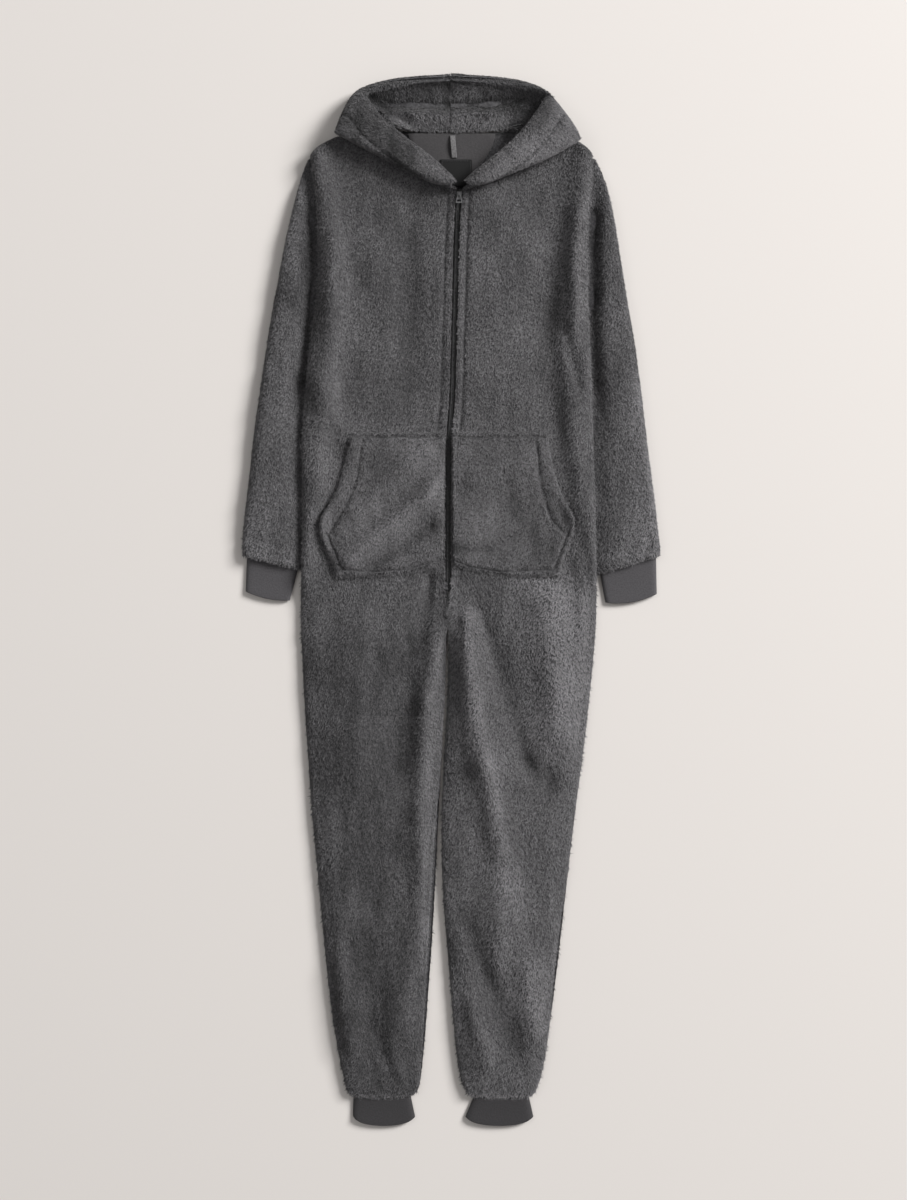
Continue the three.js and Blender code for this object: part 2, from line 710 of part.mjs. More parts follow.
function cuff(name, upperLine, lowerLine) {
  const ring = (row, inset) => {
    const place = (share) => {
      const a = upperLine(share);
      const b = lowerLine(share);
      return { x: lerp(a.x, b.x, row), y: lerp(a.y, b.y, row) };
    };
    const width = Math.hypot(place(1).x - place(0).x, place(1).y - place(0).y);
    const swell = 1 - 0.18 * Math.sin(Math.PI * row) - 0.12 * smooth((row - 0.85) / 0.15);
    const middle = (CUFF_HEIGHT * swell) / 2;
    const point = (share, isTop) => {
      const within = inset / width + share * (1 - (2 * inset) / width);
      const nearest = Math.min(share, 1 - share) * (width - 2 * inset);
      const half = (middle - inset) * rounded(nearest, middle - inset);
      return { ...place(within), z: middle + (isTop ? half : -half) };
    };
    const over = CUFF_SHARES.map((share) => point(share, true));
    const under = CUFF_SHARES.slice(1, -1).reverse().map((share) => point(share, false));
    return [...over, ...under];
  };
  const outer = CUFF_ROWS.map((row) => ring(row, 0));
  const inner = CUFF_ROWS.map((row) => ring(row, JERSEY));
  addMesh(name, sheetGeometry(outer, inner, true), COLOURS.jersey);
}

function wristCuff(side, lower) {
  const sign = SIDES[side].sign;
  const section = sleeveSection(side, SLEEVE_ROWS[SLEEVE_ROWS.length - 1]);
  const margin = 7;
  const upperLine = (share) => {
    const across = lerp(section.inner + margin, section.outer - margin, share);
    const whole = (across - section.inner) / (section.outer - section.inner);
    return { x: sign * across, y: lerp(section.innerY, section.y, whole) - SEAM_GAP };
  };
  const lowerLine = (share) => ({
    x: sign * lerp(lower.innerX, lower.outerX, share),
    y: lerp(lower.innerY, lower.outerY, share) - lower.sag * (1 - (2 * share - 1) ** 2),
  });
  cuff(`wrist_cuff_${side}`, upperLine, lowerLine);
}

function ankleCuff(side, lower) {
  const margin = 6;
  const hemLine = (share) => {
    const y = hemY(side, share);
    const inner = innerX(side, y, false);
    const outer = outerX(side, y, false);
    return { x: lerp(inner, outer, share), y };
  };
  const upperLine = (share) => {
    const width = Math.abs(hemLine(1).x - hemLine(0).x);
    const place = hemLine(lerp(margin / width, 1 - margin / width, share));
    return { x: place.x, y: place.y - 2 * SEAM_GAP };
  };
  const lowerLine = (share) => ({
    x: lerp(lower.innerX, lower.outerX, share),
    y: lower.y - lower.sag * (1 - (2 * share - 1) ** 4),
  });
  cuff(`ankle_cuff_${side}`, upperLine, lowerLine);
}

// A thin strip of cloth given by the left and right ends of its rows and the height of its underside.
function strip(name, rows, thickness, shares, colour) {
  const lower = rows.map((row) =>
    shares.map((share) => {
      const x = lerp(row.from, row.to, share);
      return { x, y: row.y, z: row.height(x, row.y) };
    }),
  );
  const upper = lower.map((row) => row.map((point) => ({ ...point, z: point.z + thickness })));
  addMesh(name, sheetGeometry(upper, lower), colour);
}

function neckFacing() {
  const height = () => FLEECE + SEAM_GAP;
  const rows = FACING_ROWS.map((row) => ({ y: row.y, from: -row.right, to: row.left, height }));
  strip('neck_facing', rows, FACING, [0, 0.25, 0.5, 0.75, 1], COLOURS.facing);
}

const ON_FACING = FLEECE + SEAM_GAP + FACING + SEAM_GAP;

function neckLabel() {
  const curl = (x, y) => ON_FACING + 0.8 * Math.sin(((x + 18) / 50) * Math.PI) * smooth((683 - y) / 30);
  const rows = [682, 670, 655, 640].map((y) => ({ y, from: -17.5, to: 32, height: curl }));
  strip('neck_label', rows, LABEL, [0, 0.2, 0.4, 0.6, 0.8, 1], COLOURS.label);
}

function hangerLoop() {
  const arch = (x, y) => ON_FACING + 2.6 * Math.sin(clamp01((y - 684) / 35) * Math.PI);
  const rows = [719, 713, 706, 698, 690, 684].map((y) => ({
    y,
    from: lerp(-2.4, 0.5, (719 - y) / 35),
    to: lerp(5.5, 8.5, (719 - y) / 35),
    height: arch,
  }));
  strip('hanger_loop', rows, 1.4, [0, 0.5, 1], COLOURS.facing);
}

const tapeHeight = (side) => (x, y) => frontBottom(side, x, y) - TAPE - 0.4;
const ZIP_ROWS = [635, 620, 600, 575, 540, 500, 460, 410, 355, 311, 280, 249, 215, 180, 145, 110, 75, 40, 15, -4];

function zipTape(side) {
  const sign = SIDES[side].sign;
  const height = (x, y) => {
    let lowest = Infinity;
    for (const offset of [-3, 0, 3]) lowest = Math.min(lowest, tapeHeight(side)(x, y + offset));
    return lowest;
  };
  const rows = ZIP_ROWS.map((y) => {
    const ends = [centreX(y) + sign * SEAM_GAP, centreX(y) + sign * TAPE_WIDTH];
    return { y, from: Math.min(...ends), to: Math.max(...ends), height };
  });
  strip(`zip_tape_${side}`, rows, TAPE, [0, 0.45, 1], COLOURS.zip);
}

// The two rows of coils, closed all the way down from the slider.
function zipChain() {
  const end = SLIDER.y - SLIDER.length / 2 - SEAM_GAP;
  const rows = [end, ...ZIP_ROWS.filter((y) => y < end - 5)].map((y) => {
    const middle = centreX(y);
    const sides = ['right', 'left'].map((side) => tapeHeight(side)(middle, y));
    const height = () => Math.max(...sides) + TAPE + SEAM_GAP;
    return { y, from: middle - CHAIN_WIDTH / 2, to: middle + CHAIN_WIDTH / 2, height };
  });
  const lower = rows.map((row) =>
    [0, 1].map((share) => ({ x: lerp(row.from, row.to, share), y: row.y, z: row.height() })),
  );
  const profile = [
    [0, 0],
    [0, 0.55],
    [0.2, 0.92],
    [0.42, 1],
    [0.5, 0.8],
    [0.58, 1],
    [0.8, 0.92],
    [1, 0.55],
    [1, 0],
  ];
  const ring = lower.map(([from, to]) =>
    profile.map(([share, level]) => ({
      x: lerp(from.x, to.x, share),
      y: from.y,
      z: from.z + level * CHAIN_HEIGHT,
    })),
  );
  addMesh('zip_chain', prismGeometry(ring), COLOURS.zip);
}

// A solid run of closed sections, with flat ends.
function prismGeometry(sections) {
  const count = sections[0].length;
  const positions = sections.flat().flatMap((p) => [p.x, p.y, p.z]);
  const faces = [];
  for (let r = 0; r < sections.length - 1; r++)
    for (let c = 0; c < count; c++) {
      const next = (c + 1) % count;
      const [a, b] = [r * count + c, r * count + next];
      const [d, e] = [a + count, b + count];
      faces.push(a, b, e, a, e, d);
    }
  const outline = sections[0].map((p) => new THREE.Vector2(p.x, p.z));
  for (const [a, b, c] of THREE.ShapeUtils.triangulateShape(outline, [])) {
    const last = (sections.length - 1) * count;
    const isTurned = THREE.ShapeUtils.area(outline) < 0;
    const [p, q] = isTurned ? [c, b] : [b, c];
    faces.push(a, q, p, last + a, last + p, last + q);
  }
  const geometry = new THREE.BufferGeometry();
  geometry.setAttribute('position', new THREE.Float32BufferAttribute(positions, 3));
  geometry.setIndex(volumeOf(positions, faces) < 0 ? faces.reverse() : faces);
  return geometry;
}

function box(x1, x2, y1, y2, z1, z2) {
  return wasm.Manifold.cube([x2 - x1, y2 - y1, z2 - z1]).translate([x1, y1, z1]);
}

function toGeometry(solid) {
  const mesh = solid.getMesh();
  const geometry = new THREE.BufferGeometry();
  const positions = [];
  for (let i = 0; i < mesh.numVert; i++)
    positions.push(...mesh.vertProperties.slice(i * mesh.numProp, i * mesh.numProp + 3));
  geometry.setAttribute('position', new THREE.Float32BufferAttribute(positions, 3));
  geometry.setIndex(Array.from(mesh.triVerts));
  return geometry;
}

const sliderX = centreX(SLIDER.y);
const sliderBase = tapeHeight('right')(sliderX, SLIDER.y) + TAPE + SEAM_GAP;
const pivot = { y: SLIDER.y + 1.5, z: sliderBase + SLIDER.height + PULL.bar + 0.5 };

// The slider's body narrows towards the hem, and carries the bridge that the pull hangs from.
function zipSlider() {
  const [top, bottom] = [SLIDER.y + SLIDER.length / 2, SLIDER.y - SLIDER.length / 2];
  const outline = [
    [sliderX - SLIDER.top / 2, top],
    [sliderX - SLIDER.bottom / 2, bottom],
    [sliderX + SLIDER.bottom / 2, bottom],
    [sliderX + SLIDER.top / 2, top],
  ];
  const body = new wasm.CrossSection([outline]).extrude(SLIDER.height).translate([0, 0, sliderBase]);
  const half = SLIDER.bridge / 2;
  const ring = wasm.Manifold.cylinder(SLIDER.bridge, SLIDER.bridgeOuter, SLIDER.bridgeOuter, 28)
    .subtract(wasm.Manifold.cylinder(SLIDER.bridge + 2, 1.4, 1.4, 20).translate([0, 0, -1]))
    .rotate([0, 90, 0])
    .translate([sliderX - half, pivot.y, pivot.z]);
  const bridge = ring.subtract(box(-100, 100, 500, 800, 0, sliderBase + SLIDER.height - 0.4));
  addMesh('zip_slider', toGeometry(body.add(bridge)), COLOURS.metal);
}

function zipPull() {
  const tapered = (inset, top, bottom) => {
    const halfAt = (y) => lerp(PULL.narrow, PULL.wide, -y / PULL.length) / 2 - inset;
    return [
      [-halfAt(top), top],
      [-halfAt(bottom), bottom],
      [halfAt(bottom), bottom],
      [halfAt(top), top],
    ];
  };
  const plate = new wasm.CrossSection([tapered(0, 0, -PULL.length)]);
  const opening = new wasm.CrossSection([tapered(PULL.arm, 0, -PULL.length + PULL.end)]);
  const loop = plate.subtract(opening).extrude(PULL.thickness).translate([0, 0, -PULL.thickness / 2]);
  const bar = wasm.Manifold.cylinder(PULL.narrow, PULL.bar, PULL.bar, 16)
    .rotate([0, 90, 0])
    .translate([-PULL.narrow / 2, 0, 0]);
  const pull = loop.add(bar).translate([sliderX, pivot.y, pivot.z]);
  addMesh('zip_pull', toGeometry(pull), COLOURS.metal);
}

for (const side of ['right', 'left']) {
  backPanel(side);
  frontPanel(side);
  sleeve(side);
  pocket(side);
  zipTape(side);
}
hood('right', RIGHT_HOOD);
hood('left', LEFT_HOOD);
wristCuff('right', { innerX: 250, innerY: 0, outerX: 319, outerY: 14, sag: 5 });
wristCuff('left', { innerX: 238, innerY: -3, outerX: 318, outerY: 10, sag: 7 });
ankleCuff('right', { innerX: -56, outerX: -153, y: -799, sag: 14 });
ankleCuff('left', { innerX: 21, outerX: 127, y: -799, sag: 14 });
neckFacing();
neckLabel();
hangerLoop();
zipChain();
zipSlider();
zipPull();

export default garment;
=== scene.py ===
"""A hooded plush-fleece onesie laid out flat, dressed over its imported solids.

The scene is in metres: +Z up from the surface it lies on, +Y towards the hood, +X to the wearer's left.
Right and left are the wearer's. Where nothing else is said, the constants are in millimetres.
"""

import math

import bmesh
import bpy
import numpy as np
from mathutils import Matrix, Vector
from mathutils.bvhtree import BVHTree


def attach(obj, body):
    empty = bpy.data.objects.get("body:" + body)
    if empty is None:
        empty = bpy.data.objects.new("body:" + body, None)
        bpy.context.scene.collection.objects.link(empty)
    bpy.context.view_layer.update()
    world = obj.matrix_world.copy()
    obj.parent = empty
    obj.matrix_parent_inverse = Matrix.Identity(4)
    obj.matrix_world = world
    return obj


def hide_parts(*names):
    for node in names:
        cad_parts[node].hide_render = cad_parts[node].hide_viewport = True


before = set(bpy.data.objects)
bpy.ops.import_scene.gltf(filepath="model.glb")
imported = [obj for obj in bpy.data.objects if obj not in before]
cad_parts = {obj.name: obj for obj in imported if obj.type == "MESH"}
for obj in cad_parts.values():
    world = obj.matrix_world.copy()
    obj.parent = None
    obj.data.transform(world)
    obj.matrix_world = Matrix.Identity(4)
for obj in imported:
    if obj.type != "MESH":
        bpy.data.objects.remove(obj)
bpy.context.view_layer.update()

MM = 0.001
SIDES = {"right": -1, "left": 1}

# The camera looks straight down, as in the photograph. Its picture shows PHOTO_HEIGHT metres of the floor.
CAMERA_HEIGHT = 3.5
PHOTO_HEIGHT = 1.860
PHOTO_CENTRE = (0.0031, 0.0008)
SENSOR = 24.0

# The floor and the lights, in metres and watts.
FLOOR_SIZE = 12
FLOOR_COLOUR = (0.74, 0.705, 0.68)
KEY_LIGHT = {
    "place": (8.6, 5.2, 5.6),
    "target": (0.1, 0, 0),
    "size": 4.0,
    "power": 1960,
    "colour": (1.0, 0.995, 0.985),
}
FILL_LIGHT = {
    "place": (-4.6, 1.5, 5.0),
    "target": (0, 0, 0),
    "size": 3.0,
    "power": 30,
    "colour": (0.98, 0.99, 1.0),
}
SKY_COLOUR = (1.0, 0.985, 0.97)
SKY_STRENGTH = 0.31

# Making a solid's mesh smooth: points nearer than MERGE_DISTANCE are one, two triangles become a quad up to
# JOIN_ANGLE, and edges above SHARP_ANGLE stay crisp. The angles are in radians.
MERGE_DISTANCE = 0.02
JOIN_ANGLE = 3.1
SHARP_ANGLE = 0.95
CRISPNESS = 0.8
SMOOTHING = 2
BACK_SMOOTHING = 1

# The pile: short blades, each one triangle from its wide base to its tip. The ranges are shares of the size
# that is drawn at random for each blade, and the spreads are in radians.
BLADE_LENGTH = 5.0
BLADE_WIDTH = 1.3
BLADE_RISE = 0.42
LENGTH_RANGE = (0.7, 1.2)
WIDTH_RANGE = (0.6, 1.2)
RISE_RANGE = (0.7, 1.3)
NAP_SPREAD = 0.55
TURN_SPREAD = 0.35
ROOT_LIFT = 0.1
FLOOR_GAP = 0.15
# The tufts in which the blades gather: their size across and along, and how far the tips are pulled.
TUFT_SIZE = (2.1, 4.4)
TUFT_PULL = 0.6
# How strongly the pile leans across the lowest part of the zip.
CLOSING_LEAN = 2.2
# The nap points down the garment. How far it turns outward from there, and how much it swirls, in
# radians.
NAP_TURN = {"hood_outer": 0.5, "sleeve": 0.12}
NAP_SWIRL = {"hood_outer": 0.6, "hood_lining": 0.9}
USUAL_SWIRL = 0.5
# How much lighter or darker the long streaks, the tufts and single blades are.
STREAK_TONE = 0.07
TUFT_TONE = 0.18
BLADE_TONE = 0.04
# The cloth under the pile is drawn in, so that the pile ends where the solid does.
PILE_DEPTH = 1.6

# The pile's colour from root to tip: painted darker towards the roots, as painted shade deep in the pile.
FLEECE_ROOT_SHADE = (0.043, 0.0418, 0.0446)
FLEECE_TIP = (0.210, 0.2050, 0.2135)
# The other colours, each from the dark to the light of its grain.
# The cloth under the pile is dark, as painted shade in the gaps between the tufts.
GROUND_SHADE_COLOURS = ((0.030, 0.029, 0.032), (0.085, 0.083, 0.088))
JERSEY_COLOURS = ((0.033, 0.031, 0.035), (0.078, 0.074, 0.080))
ANKLE_COLOURS = ((0.0145, 0.0133, 0.0150), (0.034, 0.0315, 0.0345))
FACING_COLOURS = ((0.025, 0.0232, 0.0250), (0.054, 0.0505, 0.0530))
LOOP_COLOURS = ((0.10, 0.097, 0.10), (0.19, 0.185, 0.19))
THREAD_COLOURS = ((0.03, 0.029, 0.031), (0.06, 0.058, 0.062))
LABEL_COLOURS = ((0.003, 0.003, 0.0033), (0.008, 0.008, 0.0085))
TAPE_COLOURS = ((0.030, 0.030, 0.031), (0.055, 0.055, 0.056))
COIL_COLOURS = ((0.050, 0.050, 0.052), (0.10, 0.10, 0.103))
METAL_COLOURS = ((0.16, 0.16, 0.165), (0.24, 0.24, 0.247))
# Scales of the wave texture: a rib is about 1.5 mm wide on the cuffs and 1.3 mm on the facing.
CUFF_RIB_SCALE = 1300 / math.tau
FACING_RIB_SCALE = 1500 / math.tau

# The flat size of what shows of each cut piece, in metres, and how it is held.
SHEETS = {
    "front": {"flat": (0.245, 1.500), "held": "laid"},
    "back": {"flat": (0.245, 1.500), "held": "laid"},
    "sleeve": {"flat": (0.300, 0.640), "held": "laid"},
    "pocket": {"flat": (0.200, 0.221), "held": "laid"},
    "hood_outer": {"flat": (0.300, 0.260), "held": "folded"},
    "hood_lining": {"flat": (0.290, 0.230), "held": "folded"},
}
WRIST_CUFF = (0.160, 0.062)
ANKLE_CUFF = (0.205, 0.045)
NECK_FACING = (0.136, 0.076)
HANGER_LOOP = (0.010, 0.037)
NECK_LABEL = (0.050, 0.042)
# The area given for a piece is at least this share of its flat rectangle.
LEAST_SHARE = 0.3

# The middle of the zip from the top down, the ends of its coil, and the loops that the coil is made of.
ZIP_LINE = [(12, 630), (9, 600), (5.4, 466), (0.8, 311), (-3.9, 249), (-5.4, 156), (-5.4, -10)]
ZIP_XS = [x for x, _ in ZIP_LINE][::-1]
ZIP_YS = [y for _, y in ZIP_LINE][::-1]
COIL_ENDS = (-3, 616.5)
TOOTH_PITCH = 1.55
TOOTH_OFFSET = 1.3
TOOTH_SIZE = (1.5, 0.62, 0.95)
TOOTH_SLANT = 0.25
# How far the pile keeps from the middle of the zip, at places up the zip: least at its lower end, where the
# pile closes over it, and most beside the slider.
CLEAR_YS = (0, 40, 240, 300, 604, 612)
CLEAR_REACH = (0.6, 1.4, 2.0, 3.4, 3.4, 6.2)
METAL_ROUNDING = 0.25

STITCH_PITCH = 3.4
STITCH_LENGTH = 2.5
STITCH_THICKNESS = 0.55
LABEL_EDGE = [(-14.5, 648), (-14.5, 679.5), (29, 679.5), (29, 656)]

HOOD_SEAM_X = 7
POCKET_TOP = 256

# The unevenness of soft cloth is the sum of these waves.
WAVE_COUNT = 26
WAVE_RANGE = (28, 95)
WAVES = np.random.default_rng(11)
WAVE_LENGTHS = WAVES.uniform(*WAVE_RANGE, WAVE_COUNT)
WAVE_ANGLES = WAVES.uniform(0, math.tau, WAVE_COUNT)
WAVE_PHASES = WAVES.uniform(0, math.tau, WAVE_COUNT)

# How high the unevenness is on the cloth.
UNEVENNESS = 0.45
# Where the folds set in, as a start and the width in which they grow: up the upper and the lower face of
# a front, out from the zip, and down from the crotch. A sleeve has those of a lower face. The folds of
# the hood's lining end where its upper layer begins.
UPPER_FACE = (12.5, 5)
LOWER_FACE = (7, 5)
OUT_FROM_ZIP = (15, 14)
BELOW_CROTCH = (-10, 90)
UPPER_LINING = (17, 4)
# How much of the folds below is added to those that the solids already have.
FOLD_SHARE = 1.6

# Folds of the fronts and the pockets on them, in millimetres: from, to, height and width.
# Troughs have a negative height.
BODY_FOLDS = [
    (-64, 605, -64, 326, -2.6, 18),
    (-181, 559, -188, 435, 3.2, 15),
    (-212, 342, -160, 250, 2.8, 14),
    (-120, 520, -96, 400, 1.4, 16),
    (98, 481, 55, 435, 2.2, 18),
    (150, 559, 147, 280, -1.8, 13),
    (194, 605, 191, 435, 3.4, 10),
    (176, 419, 195, 326, -2.8, 9),
    (60, 560, 92, 590, 1.5, 14),
    (-160, 63, -20, 180, 4.6, 13),
    (-119, 52, -30, 120, -3.2, 11),
    (-150, 140, -41, 233, 3.2, 16),
    (44, 78, 98, 94, -2.6, 11),
    (36, 187, 114, 218, 2.6, 18),
    (120, 60, 168, 96, 2.0, 10),
    (-30, 35, -57, -77, -5.2, 11),
    (-66, -130, -82, -247, -2.6, 18),
    (-22, -50, -41, -154, 4.2, 12),
    (-41, -154, -49, -325, 4.4, 13),
    (-49, -325, -43, -557, 3.4, 13),
    (-5, -10, 2, -190, -1.8, 5),
    (15, -60, 28, -230, 2.6, 9),
    (19, -30, 47, -247, 5.8, 13),
    (47, -247, 74, -387, 5.2, 15),
    (46, -15, 114, -247, -4.4, 13),
    (114, -247, 150, -278, -3.2, 12),
    (150, -10, 166, -200, 5.4, 28),
    (13, -480, 98, -681, -4.6, 13),
    (114, -557, 129, -650, 3.2, 17),
    (29, -619, 55, -712, 2.8, 11),
    (-118, -540, -112, -660, -3.4, 19),
    (-172, -557, -157, -681, 2.8, 13),
    (-150, -40, -148, -300, 2.8, 30),
    (80, -430, 70, -560, 3.0, 20),
    (-126, -650, -98, -712, -2.0, 8),
    (-100, -690, -80, -728, 1.8, 7),
    (196, 70, 206, -60, 2.4, 10),
    (-190, 342, 190, 345, -0.9, 5),
    (-220, -178, 200, -174, -0.9, 5),
]

# Creases of the other pieces, in the same form.
CREASES = {
    "sleeve_right": [
        (-226, 660, -216, 590, -3.0, 11),
        (-216, 590, -214, 470, -5.0, 12),
        (-214, 470, -234, 330, -4.2, 11),
        (-262, 470, -238, 430, -1.8, 10),
        (-285, 372, -246, 345, -1.6, 9),
        (-292, 300, -256, 318, 1.6, 9),
        (-300, 220, -256, 250, -1.6, 10),
        (-314, 150, -262, 170, 1.4, 9),
        (-318, 100, -270, 84, -1.5, 8),
    ],
    "sleeve_left": [
        (226, 665, 220, 590, -3.0, 11),
        (220, 590, 218, 470, -5.2, 12),
        (218, 470, 226, 300, -4.4, 11),
        (262, 480, 238, 440, -1.6, 9),
        (284, 402, 244, 372, 1.6, 10),
        (292, 318, 250, 300, -1.8, 10),
        (300, 232, 254, 262, 1.4, 9),
        (312, 150, 268, 120, -1.5, 9),
        (306, 96, 296, 56, -3.0, 6),
    ],
    "hood_outer_right": [
        (-60, 690, -92, 668, -1.2, 8),
        (-112, 722, -150, 702, 1.4, 9),
        (-150, 770, -162, 742, 1.2, 8),
    ],
    "hood_outer_left": [
        (75, 690, 105, 664, -1.3, 8),
        (125, 735, 160, 702, 1.5, 9),
        (160, 770, 186, 726, -1.4, 7),
    ],
    "hood_lining_right": [
        (-130, 792, -8, 802, 12.0, 15),
        (-104, 754, -60, 752, 4.0, 9),
        (-60, 752, -8, 751, 4.5, 10),
        (-112, 768, -60, 766, -4.0, 7),
        (-60, 766, -8, 765, -4.5, 7),
        (-132, 776, -106, 752, 3.0, 5),
        (-106, 752, -76, 728, 3.0, 5),
        (-30, 792, -42, 770, -1.4, 7),
    ],
    "hood_lining_left": [
        (-8, 802, 134, 792, 12.0, 15),
        (-8, 751, 60, 753, 4.5, 10),
        (60, 753, 112, 764, 4.0, 9),
        (-8, 765, 60, 768, -4.5, 7),
        (60, 768, 120, 778, -4.0, 7),
        (22, 792, 32, 772, 1.6, 8),
        (74, 790, 90, 774, -1.8, 8),
    ],
}

# Seams and stitched grooves: the pile is parted along them. Points are in millimetres.
PARTINGS = {
    "front_right": [[(-5.5, 632), (-12, 466), (-17, 311), (-21.5, 249)]],
    "front_left": [[(27, 632), (22, 466), (17, 311), (13, 249)]],
    "pocket_right": [
        [(-136, 252), (-146, 187), (-162, 145), (-190, 102)],
        [(-193, 106), (-168, 49), (-120, 46), (-67, 50), (-14, 66)],
        [(-150, 253), (-128, 255), (-104, 252), (-78, 254), (-50, 252), (-20, 254)],
    ],
    "pocket_left": [
        [(131, 252), (137, 181), (154, 128), (173, 106)],
        [(180, 106), (158, 49), (76, 46), (30, 53), (6, 62)],
        [(10, 254), (38, 252), (66, 254), (92, 252), (120, 255), (143, 253)],
    ],
    "hood_outer_right": [
        [(-165, 748), (-156, 742), (-132, 711), (-103, 687), (-74, 667), (-42, 648)],
    ],
    "hood_outer_left": [[(169, 744), (145, 707), (118, 677), (84, 655), (58, 640)]],
}
PARTING_WIDTH = 2.8
PARTING_DEPTH = {"front": 1.2, "pocket": 2.6, "hood_outer": 2.6}

# Strokes of painted light and shade in the pile's colour: lighter where folds and edges would catch the
# light, darker in hollows, under edges and beside the sleeves: from, to, lighter or darker, and width, in
# millimetres.
PAINTED_LIGHT_STROKES = {
    "front": [
        (-64, 600, -66, 330, -0.13, 26),
        (-130, 640, -130, 300, -0.05, 60),
        (-150, 540, -140, 380, 0.03, 30),
        (70, 560, 72, 400, 0.04, 30),
        (150, 460, 152, 230, -0.05, 18),
        (194, 600, 194, 400, 0.08, 14),
        (-206, 560, -206, 300, -0.10, 12),
        (-190, 300, -160, 250, 0.06, 22),
        (-30, 30, -60, -80, -0.15, 14),
        (-58, -60, -80, -260, -0.13, 22),
        (-150, -120, -110, -720, -0.20, 85),
        (150, 20, 165, -210, 0.34, 46),
        (196, 20, 204, -120, 0.12, 20),
        (24, -20, 52, -250, 0.17, 15),
        (56, -250, 84, -430, 0.18, 22),
        (84, -430, 60, -560, 0.10, 20),
        (-5, -10, 4, -220, -0.16, 6),
        (15, -40, 30, -240, 0.20, 10),
        (-160, 690, -60, 642, 0.20, 15),
        (66, -40, 122, -250, -0.14, 12),
        (118, -245, 160, -290, -0.20, 12),
        (110, -430, 100, -640, 0.08, 40),
        (20, -480, 98, -690, -0.20, 13),
        (114, -560, 130, -660, 0.20, 16),
        (-24, -60, -44, -560, 0.12, 12),
        (-152, -765, -60, -765, 0.20, 5),
        (24, -765, 126, -765, 0.20, 5),
        (-118, -560, -112, -640, -0.08, 24),
        (-150, -640, -90, -700, -0.08, 14),
    ],
    "pocket": [
        (60, 240, 120, 120, -0.04, 40),
        (-110, 230, -100, 170, -0.10, 26),
        (-40, 240, -110, 150, 0.14, 20),
        (-22, 178, -150, 70, 0.18, 12),
        (-30, 118, -119, 52, -0.22, 11),
        (8, 84, 60, 80, -0.20, 9),
        (96, 150, 140, 80, -0.12, 14),
        (36, 190, 114, 220, 0.06, 18),
        (170, 110, 140, 56, -0.08, 14),
    ],
    "sleeve": [
        (300, 330, 312, 100, 0.24, 30),
        (318, 73, 236, 70, 0.16, 5),
        (-318, 76, -240, 60, 0.16, 5),
        (222, 600, 226, 340, -0.26, 14),
        (226, 340, 240, 100, -0.10, 12),
        (-300, 200, -312, 90, 0.04, 22),
        (-216, 600, -226, 340, -0.26, 14),
        (-228, 340, -240, 100, -0.10, 12),
    ],
    "hood_outer": [
        (-165, 760, -80, 680, -0.32, 34),
        (90, 670, 180, 720, 0.26, 34),
        (-80, 650, -30, 640, -0.10, 14),
        (-140, 800, 140, 800, -0.10, 16),
    ],
    "hood_lining": [
        (60, 775, 130, 760, -0.24, 22),
        (80, 740, 110, 730, -0.22, 16),
        (-124, 782, -96, 752, -0.25, 6),
        (-80, 742, 80, 743, 0.24, 11),
        (-100, 767, 100, 770, -0.34, 9),
        (-118, 780, -40, 786, -0.16, 12),
        (-7, 800, -7, 764, -0.12, 5),
    ],
    "back": [(-12, -300, -32, -760, -0.15, 30)],
}

# How many blades of pile each piece carries.
FUR_COUNTS = {
    "front": 172000,
    "back": 13500,
    "sleeve": 66000,
    "pocket": 37500,
    "hood_outer": 37500,
    "hood_lining": 25500,
}


def rising(value, start, width):
    """0 up to the start, 1 from a width above it, and smooth between."""
    share = np.clip((value - start) / width, 0.0, 1.0)
    return share * share * (3 - 2 * share)


def falling(value, start, width):
    """0 down to the start, 1 from a width below it, and smooth between."""
    return rising(-value, -start, width)


def unit(vectors):
    """The same directions, each with the length 1."""
    return vectors / np.maximum(np.linalg.norm(vectors, axis=1)[:, None], 1e-15)


def along_cloth(vectors, up):
    """The part of each vector that lies along the cloth."""
    return vectors - up * np.sum(vectors * up, axis=1)[:, None]


def distance_to_segment(points, x1, y1, x2, y2):
    """Distance in the plane from each point to a segment."""
    direction = np.array([x2 - x1, y2 - y1], float)
    offset = points - np.array([x1, y1], float)
    along = np.clip(offset @ direction / (direction @ direction), 0, 1)
    return np.hypot(*(offset - along[:, None] * direction).T)


def strokes(points, rows):
    """The sum of soft strokes at each point. A row is x and y of both ends, the height and the width."""
    total = np.zeros(len(points))
    for x1, y1, x2, y2, height, width in rows:
        distance = distance_to_segment(points, x1, y1, x2, y2)
        total += height * np.exp(-((distance / width) ** 2))
    return total


def parting_share(points, lines, width):
    """1 on a stitched groove, falling to 0 beside it."""
    share = np.zeros(len(points))
    for line in lines:
        for (x1, y1), (x2, y2) in zip(line, line[1:]):
            distance = distance_to_segment(points, x1, y1, x2, y2)
            share = np.maximum(share, np.exp(-((distance / width) ** 2)))
    return share


def soft_unevenness(points):
    """Gentle unevenness of soft cloth, mostly from -1 to 1."""
    total = np.zeros(len(points))
    for length, angle, phase in zip(WAVE_LENGTHS, WAVE_ANGLES, WAVE_PHASES):
        along = points[:, 0] * math.cos(angle) + points[:, 1] * math.sin(angle)
        total += np.sin(along * math.tau / length + phase)
    return total / 6.0


def read_points(mesh):
    """The mesh's points, in metres."""
    points = np.empty(len(mesh.vertices) * 3)
    mesh.vertices.foreach_get("co", points)
    return points.reshape(-1, 3)


def write_points(mesh, points):
    """Move the mesh's points to these places."""
    mesh.vertices.foreach_set("co", points.ravel())
    mesh.update()


